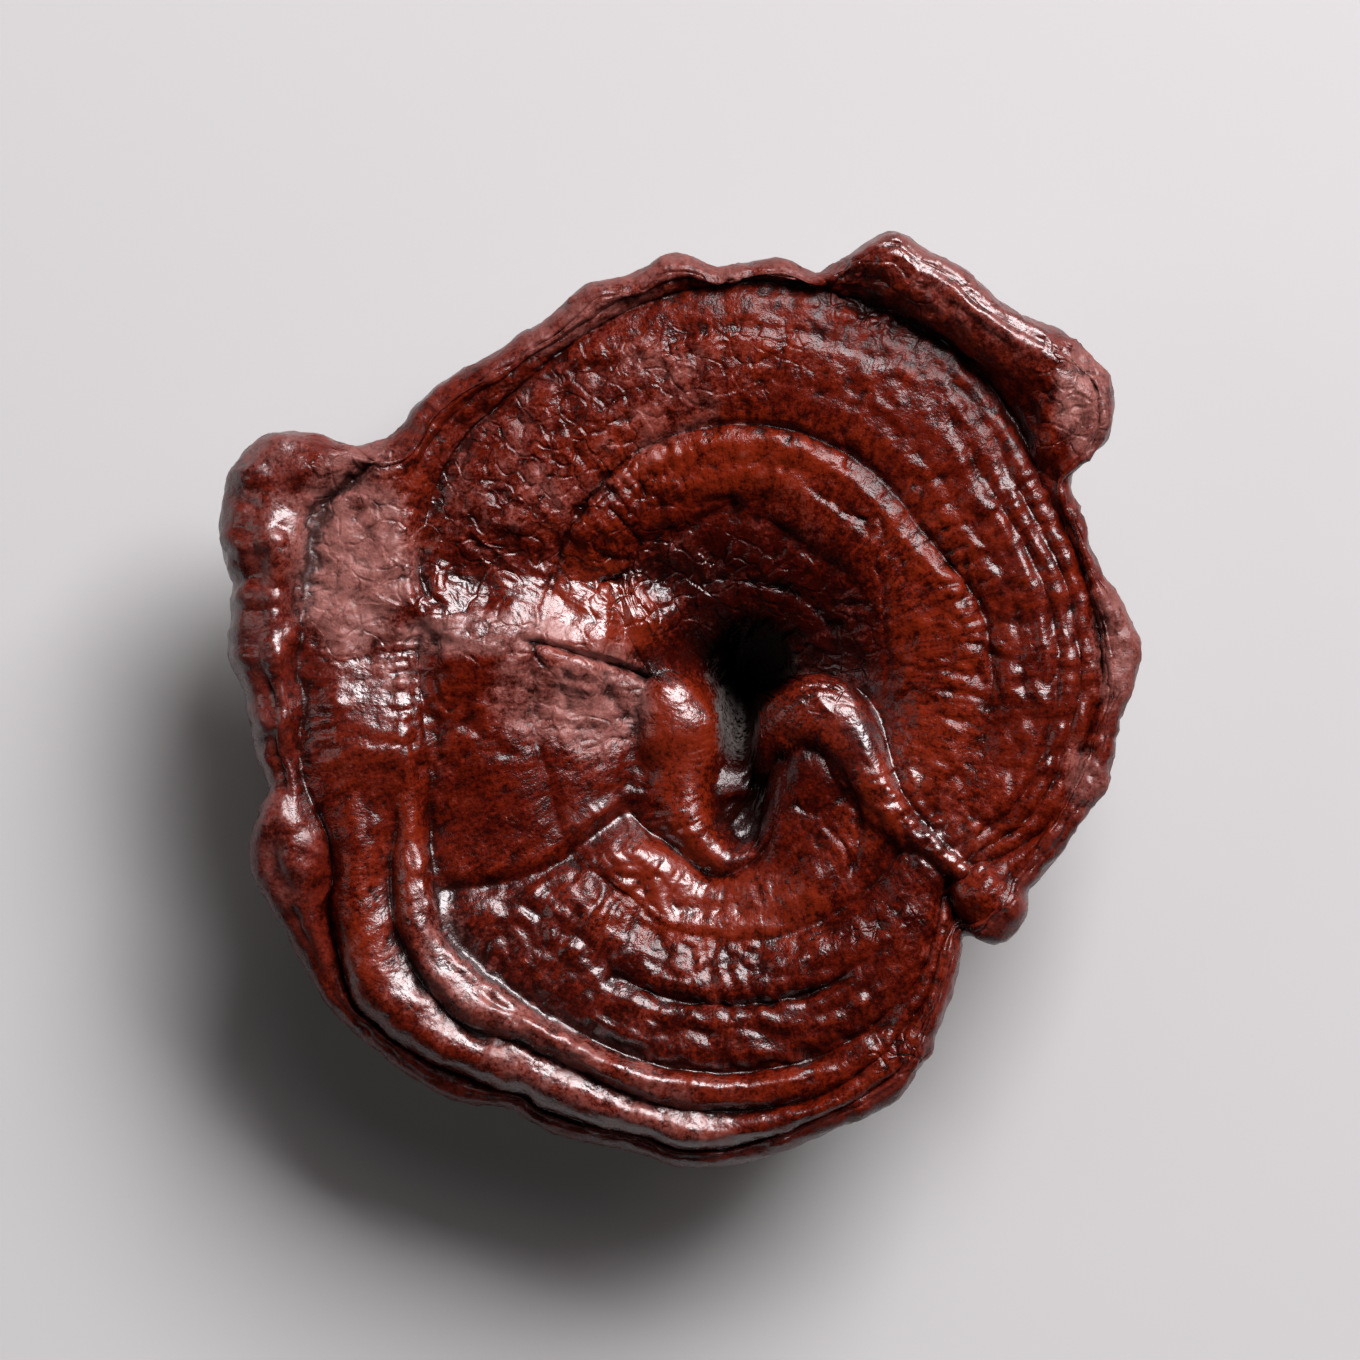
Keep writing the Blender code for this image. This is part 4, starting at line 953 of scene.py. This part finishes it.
def lacquer_colour(weave, look, marks):
    """The colour of the cap: lacquer, its young parts and painted light, its dusty parts and painted sheen,
    the rim, painted shade and stain in creases, and painted shade in the pit.
    """
    ember, mottle, speckle = marks.ember, marks.mottle, marks.speckle
    # Painted shade: deep in the pit wall, and in the patches of painted shade, the tone is painted darker and
    # less orange
    painted_pit_wall_shade = (1.0 - marks.growth.between(*PIT_SHADE_FADE)) * (1.0 - ember)
    tone = 0.55 - painted_pit_wall_shade * 0.45 + mottle * 1.6 + speckle * 2.4 + marks.streaks * 1.2 - marks.umber * 0.25
    colour = weave.mix(tone.between(0.0, 0.75), look.dark_lacquer, look.lacquer)
    # Young colour and painted light: the patches, clouds, streaks and the crests of the mesh are mixed towards
    # the brighter orange-red
    young_tint_and_painted_light = ember * 0.7 + (marks.clouds + 0.05) * 0.7 + (tone - 0.5) * 0.9
    young_tint_and_painted_light = young_tint_and_painted_light + marks.streaks * 0.9 - painted_pit_wall_shade * 0.4 - marks.hollow * 0.5
    colour = weave.mix(young_tint_and_painted_light.between(0.1, 1.0), colour, look.young_lacquer_and_painted_light)
    # Dust and painted sheen: matte patches are mixed towards the paler greyish-pink
    colour = weave.mix(marks.matte * 0.8, colour, look.bloom_and_painted_sheen)
    colour = weave.mix(marks.rim * mottle.between(-0.2, 0.2) * 0.55, colour, look.margin)
    # Painted shade and stain: the colour is painted towards the crease colour in the hollows of the mesh, in
    # the valleys of the fine bumps and in cracks, and darker on gravel
    stain_and_shade = ((0.5 - marks.peel) * 3.4 + (0.5 - marks.pimples) * 2.6) * (1.0 - marks.dusty * 0.5)
    painted_shade_and_grit = marks.hollow * (1.0 - ember * 0.6) + marks.gravelly * (speckle + 0.3) + stain_and_shade
    painted_shade_and_grit = (painted_shade_and_grit + marks.seams * 0.5 + (1.0 - ember) * 0.15).between(0.2, 1.2)
    colour = weave.mix(painted_shade_and_grit * 0.85, colour, look.crease)
    # Painted shade: the pit is painted in the crease colour
    colour = weave.mix(marks.pit.between(0.0, 1.3), colour, look.crease)
    return weave.mix(marks.film, colour, look.chalk)


def flesh_marks(weave):
    """Everything that varies over the flesh, by name: the mesh's masks and the textures made from them."""
    marks = SimpleNamespace(**{name: weave.attribute(name) for name in READ_MASKS})
    place = Tone(weave, weave.node("ShaderNodeTexCoord").outputs["Object"])
    around = weave.attribute("around", "Vector")
    for name, texture in CENTRED_NOISES.items():
        setattr(marks, name, weave.noise(place, *texture) - 0.5)
    for name, texture in PLAIN_NOISES.items():
        setattr(marks, name, weave.noise(place, *texture))
    streaks, flutes = (
        weave.noise(weave.stretch(around, scale), 1.0, *texture) for scale, *texture in (STREAKS, FLUTES))
    marks.streaks = (streaks - 0.45) * marks.growth.between(*RING_FLESH)
    marks.flutes = flutes * marks.growth.between(*DISC_FLESH)
    marks.dull = 1.0 - marks.glossy
    # Matte: rougher, and in colour dust with painted sheen
    marks.matte = marks.dusty * 1.1 + marks.mottle * 1.8 + marks.clouds * 0.8 + marks.speckle * 1.2
    marks.matte = marks.matte.between(0.2, 1.3)
    marks.rim = marks.growth.between(*RIM)
    plates = weave.cells(weave.swerve(place, *PLATE_BEND), PLATE_SCALE, "DISTANCE_TO_EDGE")
    marks.seams = (1.0 - plates.between(0.0, 0.16)) * marks.wrinkled
    chalk = marks.chalky * 0.7 + marks.mottle * 2.0 + marks.speckle * 2.4
    marks.film = chalk.between(0.3, 0.8) * marks.chalky
    marks.pores = marks.growth.between(*PORES)
    marks.pore_dots = weave.cells(place, PORE_SCALE).between(0.15, 0.5)
    marks.bark = marks.growth.between(*STEM_BARK)
    marks.cut = marks.growth.between(*CUT)
    return marks


def flesh_material(look):
    """Natural lacquer on the cap, pores under it and open flesh at the stem's cut, in one material."""
    material = bpy.data.materials.new("reishi_flesh")
    material.use_nodes = True
    weave = Weave(material.node_tree)
    marks = flesh_marks(weave)

    colour = lacquer_colour(weave, look, marks)
    pore_colour = weave.mix(marks.pore_stains, look.pores_aged, look.pores)
    pore_colour = weave.mix((1.0 - marks.pore_dots) * 0.6, pore_colour, look.pores_aged)
    colour = weave.mix(marks.pores, colour, pore_colour)
    colour = weave.mix(marks.bark, colour, weave.mix(marks.mottle + 0.5, look.dark_lacquer, look.lacquer))
    colour = weave.mix(marks.cut, colour, weave.mix(marks.fibres, look.cut_dark, look.cut_flesh))

    rough = look.gloss_roughness + marks.matte * 0.28 + marks.gravelly * 0.1 + marks.rim * 0.04
    rough = rough + marks.film * 0.4 + marks.mottle * 0.3
    rough = (rough + marks.pores * (1.0 - marks.bark) * 0.5 + marks.cut * 0.4).clamped()

    relief = marks.peel * (0.22 - marks.dull * 0.10) + marks.pimples * (0.09 + marks.dull * 0.05)
    relief = relief + marks.grain * (0.02 + marks.dull * 0.02) + marks.flutes * 0.06 - marks.seams * 0.22
    relief = relief * (1.0 - marks.pores)
    relief = relief + marks.pore_dots * marks.pores * 0.12 + marks.fibres * marks.cut * 0.3
    bump = weave.node("ShaderNodeBump", None, Strength=1.0, Distance=MM, Height=relief)

    # Painted shade: the pit is also made black metal, so that it reflects no light
    unlit = marks.pit.between(0.4, 1.3) * (1.0 - marks.film)
    wet = material.node_tree.nodes["Principled BSDF"]
    dry = weave.node("ShaderNodeBsdfPrincipled")
    for shader, index in ((wet, look.wet_index), (dry, look.dry_index)):
        shader.inputs["IOR"].default_value = index
        weave.put(shader.inputs["Base Color"], colour)
        weave.put(shader.inputs["Metallic"], unlit)
        weave.put(shader.inputs["Roughness"], rough)
        weave.tree.links.new(bump.outputs["Normal"], shader.inputs["Normal"])
    film = weave.node("ShaderNodeMixShader")
    dryness = marks.dull * 0.85 - marks.matte * 0.45 + marks.gravelly * 0.15 + marks.mottle * 0.8
    weave.put(film.inputs[0], dryness.clamped())
    weave.tree.links.new(wet.outputs[0], film.inputs[1])
    weave.tree.links.new(dry.outputs[0], film.inputs[2])
    weave.tree.links.new(film.outputs[0], material.node_tree.nodes["Material Output"].inputs["Surface"])
    return material


def plain_material(name, colour, roughness):
    material = bpy.data.materials.new(name)
    material.use_nodes = True
    shader = material.node_tree.nodes["Principled BSDF"]
    shader.inputs["Base Color"].default_value = (*colour, 1.0)
    shader.inputs["Roughness"].default_value = roughness
    return material


def colour_setting(name, description, default):
    return FloatVectorProperty(
        name=name, description=description, default=default, size=3, min=0.0, max=1.0, subtype="COLOR")


class ReishiFormSettings(PropertyGroup):
    samples_round: IntProperty(
        name="Samples round the margin", description="Points in each ring of the surface",
        default=576, min=60, max=600)
    relief: FloatProperty(
        name="Fine relief", description="Strength of the ripples, blisters and wrinkles",
        default=1.0, min=0.0, max=3.0, subtype="FACTOR")


class ReishiLookSettings(PropertyGroup):
    lacquer: colour_setting("Lacquer", "The red-brown of most of the cap", (0.072, 0.0047, 0.0012))
    dark_lacquer: colour_setting("Dark lacquer", "The darkest streaks of the cap", (0.020, 0.0010, 0.0002))
    # Young lacquer also serves as painted light on the lit patches and on crests
    young_lacquer_and_painted_light: colour_setting("Young lacquer", "The orange-red of inner rings", (0.138, 0.0122, 0.0026))
    # The bloom colour is partly painted sheen
    bloom_and_painted_sheen: colour_setting("Bloom", "The dusty matte patches", (0.270, 0.1060, 0.0900))
    margin: colour_setting("Margin", "The duller purple-brown of the rim", (0.085, 0.0220, 0.0190))
    chalk: colour_setting("Chalk", "The grey film in the slit", (0.0805, 0.0700, 0.0651))
    # The crease colour is painted shade as well as stain, in grooves, cracks, bump valleys and the pit
    crease: colour_setting("Crease", "The stain in grooves and cracks", (0.008, 0.0008, 0.0003))
    pores: colour_setting("Pores", "The fresh pore surface under the cap", (0.4000, 0.2880, 0.1680))
    pores_aged: colour_setting("Aged pores", "Brown stains on the pore surface", (0.2080, 0.1120, 0.0560))
    cut_flesh: colour_setting("Cut flesh", "The open flesh where the stem is cut", (0.2640, 0.1520, 0.0720))
    cut_dark: colour_setting("Dark fibres", "Dark fibres in the cut", (0.0960, 0.0440, 0.0200))
    gloss_roughness: FloatProperty(
        name="Gloss roughness", description="Roughness of the glossiest lacquer", default=0.24, min=0.0,
        max=1.0, subtype="FACTOR")
    wet_index: FloatProperty(
        name="Wet gloss", description="Refractive index of the glossiest lacquer", default=1.62, min=1.0,
        max=2.0)
    dry_index: FloatProperty(
        name="Dry gloss", description="Refractive index of the dull lacquer", default=1.26, min=1.0, max=2.0)


class ReishiStageSettings(PropertyGroup):
    floor_colour: colour_setting("Floor", "Colour of the floor", (0.44, 0.46, 0.46))
    floor_size: FloatProperty(
        name="Floor size", description="Side of the square floor", default=4.0, min=0.5, unit="LENGTH")
    camera_height: FloatProperty(
        name="Camera height", description="Height of the camera above the margin", default=1.5, min=0.3,
        unit="LENGTH")
    margin_height: FloatProperty(
        name="Margin height", description="Height at which the picture's scale holds", default=0.031,
        unit="LENGTH")
    key_power: FloatProperty(
        name="Key light", description="Power of the main light in watts", default=70.0, min=0.0)
    wide_power: FloatProperty(
        name="Wide light", description="Power of the wide light round the main one in watts", default=18.0,
        min=0.0)
    side_power: FloatProperty(
        name="Side light", description="Power of the light from the left in watts", default=1.8, min=0.0)
    sky: FloatProperty(
        name="Sky", description="Strength of the even light from all round", default=0.02, min=0.0)


class REISHI_OT_grow_fruiting_body(Operator):
    """Grow the cap, its folds and its stem as one piece with its lacquer and pores"""

    bl_idname = "reishi.grow_fruiting_body"
    bl_label = "Grow Fruiting Body"

    def execute(self, context):
        form, look = context.scene.reishi_form, context.scene.reishi_look
        surface, masks = fruiting_body_arrays(form.samples_round, form.relief)
        rings, count = surface.shape[:2]
        pit, cut = metres((PIT_PIXELS, STEM_CUT_PIXELS))
        points = np.vstack(
            ((pit[0], pit[1], PIT_FLOOR_HEIGHT), surface.reshape(-1, 3), (cut[0], cut[1], 0.0)))
        mesh = bpy.data.meshes.new("fruiting_body")
        mesh.from_pydata(points.tolist(), [], ring_faces(rings, count))
        if len(mesh.polygons) < rings:
            raise RuntimeError("The fruiting body has no surface")
        for name, values in masks.items():
            if values.ndim == 3:
                ends = (values[0].mean(axis=0), values[-1].mean(axis=0))
                layer = mesh.attributes.new(name, "FLOAT_VECTOR", "POINT")
                layer.data.foreach_set("vector", np.vstack((ends[0], values.reshape(-1, 3), ends[1])).ravel())
            else:
                layer = mesh.attributes.new(name, "FLOAT", "POINT")
                layer.data.foreach_set(
                    "value", np.concatenate(((values[0, 0],), values.ravel(), (values[-1, 0],))))
        mesh.materials.append(flesh_material(look))
        mesh.shade_smooth()
        body = bpy.data.objects.new("fruiting_body", mesh)
        context.collection.objects.link(body)
        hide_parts(NODE)
        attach(body, "root")
        return {"FINISHED"}


class REISHI_OT_set_stage(Operator):
    """Lay the pale floor, hang the soft lights and set the camera straight above the cap"""

    bl_idname = "reishi.set_stage"
    bl_label = "Set Stage"

    def execute(self, context):
        stage = context.scene.reishi_stage
        self.lay_floor(context, stage)
        for name, setting, place, size, colour in LIGHTS:
            self.light(context, name, getattr(stage, setting), place, size, colour)
        world = bpy.data.worlds.new("even_light")
        world.use_nodes = True
        world.node_tree.nodes["Background"].inputs["Strength"].default_value = stage.sky
        world.node_tree.nodes["Background"].inputs["Color"].default_value = (1.0, 1.0, 1.0, 1.0)
        context.scene.world = world
        self.set_camera(context, stage)
        context.scene.view_settings.view_transform = "Standard"
        return {"FINISHED"}

    def lay_floor(self, context, stage):
        half = stage.floor_size / 2.0
        mesh = bpy.data.meshes.new("floor")
        corners = [(-half, -half, 0.0), (half, -half, 0.0), (half, half, 0.0), (-half, half, 0.0)]
        mesh.from_pydata(corners, [], [(0, 1, 2, 3)])
        mesh.materials.append(plain_material("floor", stage.floor_colour, 0.9))
        floor = bpy.data.objects.new("floor", mesh)
        context.collection.objects.link(floor)

    def light(self, context, name, power, place, size, colour):
        data = bpy.data.lights.new(name, "AREA")
        data.shape = "RECTANGLE"
        data.size, data.size_y = size
        data.energy = power
        data.color = colour
        lamp = bpy.data.objects.new(name, data)
        lamp.location = place
        lamp.rotation_euler = (Vector(LIGHTS_AIM) - Vector(place)).to_track_quat("-Z", "Y").to_euler()
        context.collection.objects.link(lamp)

    def set_camera(self, context, stage):
        data = bpy.data.cameras.new("above")
        data.sensor_width = 36.0
        shown = PICTURE_PIXELS * PIXEL
        data.lens = data.sensor_width * stage.camera_height / shown
        data.clip_start = 0.05
        camera = bpy.data.objects.new("above", data)
        centre = metres(((PICTURE_PIXELS / 2.0, PICTURE_PIXELS / 2.0),))[0]
        camera.location = (centre[0], centre[1], stage.margin_height + stage.camera_height)
        context.collection.objects.link(camera)
        context.scene.camera = camera


class REISHI_PT_sidebar(Panel):
    """Lists the mushroom's settings and steps"""

    bl_idname = "REISHI_PT_sidebar"
    bl_label = "Reishi Mushroom"
    bl_space_type = "VIEW_3D"
    bl_region_type = "UI"
    bl_category = "Reishi"

    def draw(self, context):
        for group in (context.scene.reishi_form, context.scene.reishi_look, context.scene.reishi_stage):
            column = self.layout.column(align=True)
            for name in group.__annotations__:
                column.prop(group, name)
        for step in STEPS:
            self.layout.operator(step.bl_idname)


STEPS = (REISHI_OT_grow_fruiting_body, REISHI_OT_set_stage)
CLASSES = (ReishiFormSettings, ReishiLookSettings, ReishiStageSettings, *STEPS, REISHI_PT_sidebar)


def register():
    for made in CLASSES:
        bpy.utils.register_class(made)
    bpy.types.Scene.reishi_form = PointerProperty(type=ReishiFormSettings)
    bpy.types.Scene.reishi_look = PointerProperty(type=ReishiLookSettings)
    bpy.types.Scene.reishi_stage = PointerProperty(type=ReishiStageSettings)


def unregister():
    del bpy.types.Scene.reishi_stage
    del bpy.types.Scene.reishi_look
    del bpy.types.Scene.reishi_form
    for made in reversed(CLASSES):
        bpy.utils.unregister_class(made)


def main():
    register()
    bpy.ops.reishi.set_stage()
    bpy.ops.reishi.grow_fruiting_body()


if __name__ == "__main__":
    main()
